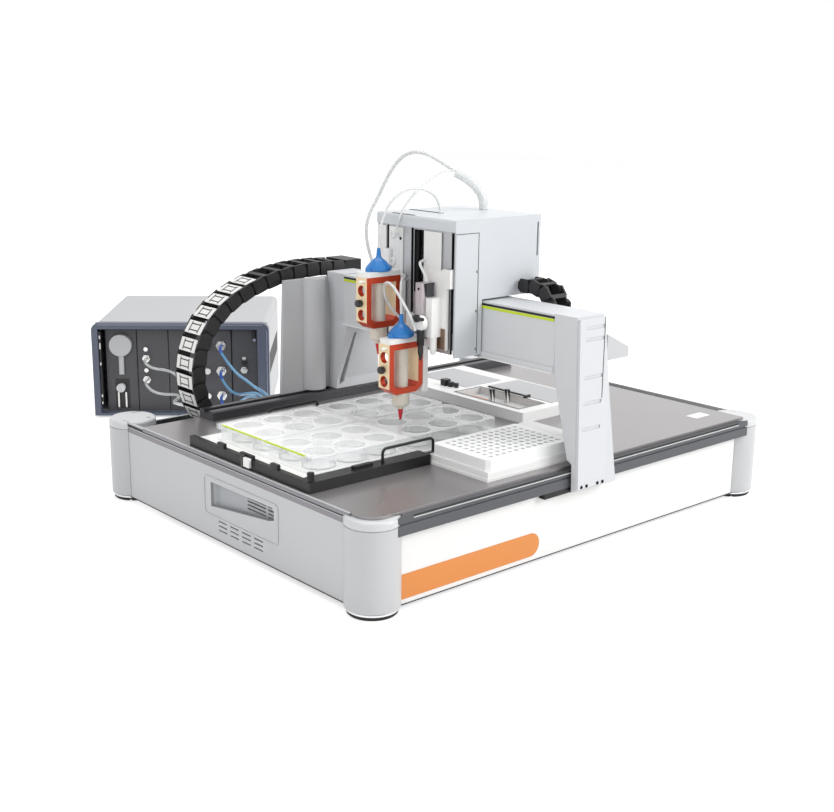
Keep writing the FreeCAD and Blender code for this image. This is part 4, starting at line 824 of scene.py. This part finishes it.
over_route = [(-122.3, -97, 228.5), (-124.6, -96, 238), (-127.6, -90, 250), (-129.6, -81, 262),
              (-130.6, -71, 273), (-130.6, -60, 277), (-127.6, -51, 270), (-122.6, -48, 257),
              (-113.6, -50, 243), (-102.6, -54, 231), (-96.6, -56, 219), (-96.1, -56.5, 213.8)]
head_line("tool_tube", over_route, 1.5, "near_tool", "head", (-122, -97, 228), (-97, -57, 214), "tool_lines")
second_route = [(-1, -24, 386), (-20, -30, 387), (-42, -34, 382), (-62, -36, 372), (-80, -36, 358),
                (-91, -35, 343), (-96, -34, 328), (-93, -33.5, 320), (-89.8, -33, 318)]
air_line("second_line", second_route, 1.2, clear_pu, "head")
arc_route = [(-90.35, -75, 298), (-97.7, -76.3, 297.5), (-102.8, -80.9, 295), (-104.2, -86.7, 290.5),
             (-103.9, -91, 284.4), (-103.2, -93.1, 277.7)]
head_line("tool_arc", arc_route, 1.5, "near_tool", "head", (-103, -93, 278), (-91, -75, 298))


# Studio. A pale matt floor that keeps the shadow, a white surround that only
# the camera and reflections see at full strength, and four soft lamps.

def seen_directly(tree):
    """1 for camera, reflected and refracted rays, 0 for the light that falls on the object."""
    ray = add(tree, "ShaderNodeLightPath")
    straight = add(tree, "ShaderNodeMath", {0: ray.outputs["Is Camera Ray"], 1: ray.outputs["Is Glossy Ray"]},
                   operation="MAXIMUM")
    return add(tree, "ShaderNodeMath", {0: straight.outputs["Value"], 1: ray.outputs["Is Transmission Ray"]},
               operation="MAXIMUM").outputs["Value"]


floor_half = 6
floor_height = -0.0002
floor_mesh = bpy.data.meshes.new("studio_floor")
corners = [(-floor_half, -floor_half), (floor_half, -floor_half), (floor_half, floor_half),
           (-floor_half, floor_half)]
floor_mesh.from_pydata([(x, y, floor_height) for x, y in corners], [], [(0, 1, 2, 3)])
floor = bpy.data.objects.new("studio_floor", floor_mesh)
scene.collection.objects.link(floor)
pale, tree, place = blank("studio_floor_white")
paint = add(tree, "ShaderNodeBsdfDiffuse", {"Color": (0.86, 0.86, 0.86, 1.0)})
glow = add(tree, "ShaderNodeEmission", {"Color": (1.0, 1.0, 1.0, 1.0), "Strength": 0.55})
dark = add(tree, "ShaderNodeEmission", {"Strength": 0.0})
lift = add(tree, "ShaderNodeMixShader", {0: seen_directly(tree), 1: dark.outputs["Emission"],
                                         2: glow.outputs["Emission"]})
both = add(tree, "ShaderNodeAddShader", {0: paint.outputs["BSDF"], 1: lift.outputs["Shader"]})
close(tree, both.outputs["Shader"])
floor_mesh.materials.append(pale)

world = bpy.data.worlds.new("studio_surround")
world.use_nodes = True
scene.world = world
tree = world.node_tree
tree.nodes.clear()
soft = add(tree, "ShaderNodeBackground", {"Color": (1.0, 1.0, 1.0, 1.0), "Strength": 0.5})
white = add(tree, "ShaderNodeBackground", {"Color": (1.0, 1.0, 1.0, 1.0), "Strength": 1.0})
mix = add(tree, "ShaderNodeMixShader", {0: seen_directly(tree), 1: soft.outputs["Background"],
                                        2: white.outputs["Background"]})
add(tree, "ShaderNodeOutputWorld", {"Surface": mix.outputs["Shader"]})


def lamp(name, place, aim, size, power):
    """A square soft box that points at a place."""
    light = bpy.data.lights.new(name, "AREA")
    light.size = size
    light.energy = power
    made = bpy.data.objects.new(name, light)
    made.location = place
    made.rotation_euler = (Vector(aim) - Vector(place)).to_track_quat("-Z", "Y").to_euler()
    scene.collection.objects.link(made)


lamp("key_lamp", (1.6, -2.6, 1.7), (0, 0, 0.1), 1.6, 62)
lamp("fill_lamp", (-2.6, -0.9, 1.5), (0, 0, 0.1), 1.6, 20)
lamp("top_lamp", (0.2, 0.3, 2.6), (0, 0, 0.1), 1.8, 26)
lamp("rear_lamp", (2.3, 1.7, 0.9), (0.1, 0, 0.1), 1.2, 1.6)

camera_data = bpy.data.cameras.new("studio_camera")
camera_data.lens = 53.495
camera_data.sensor_width = 36
camera = bpy.data.objects.new("studio_camera", camera_data)
right = Vector((0.750551, -0.660708, 0.011747))
up = Vector((0.155161, 0.193483, 0.968757))
ahead = Vector((0.642338, 0.725278, -0.247735))
turn = Matrix((right, up, -ahead)).transposed().to_4x4()
camera.matrix_world = Matrix.Translation((-0.96742, -1.05544, 0.47400)) @ turn
scene.collection.objects.link(camera)
scene.camera = camera
scene.view_settings.view_transform = "Standard"
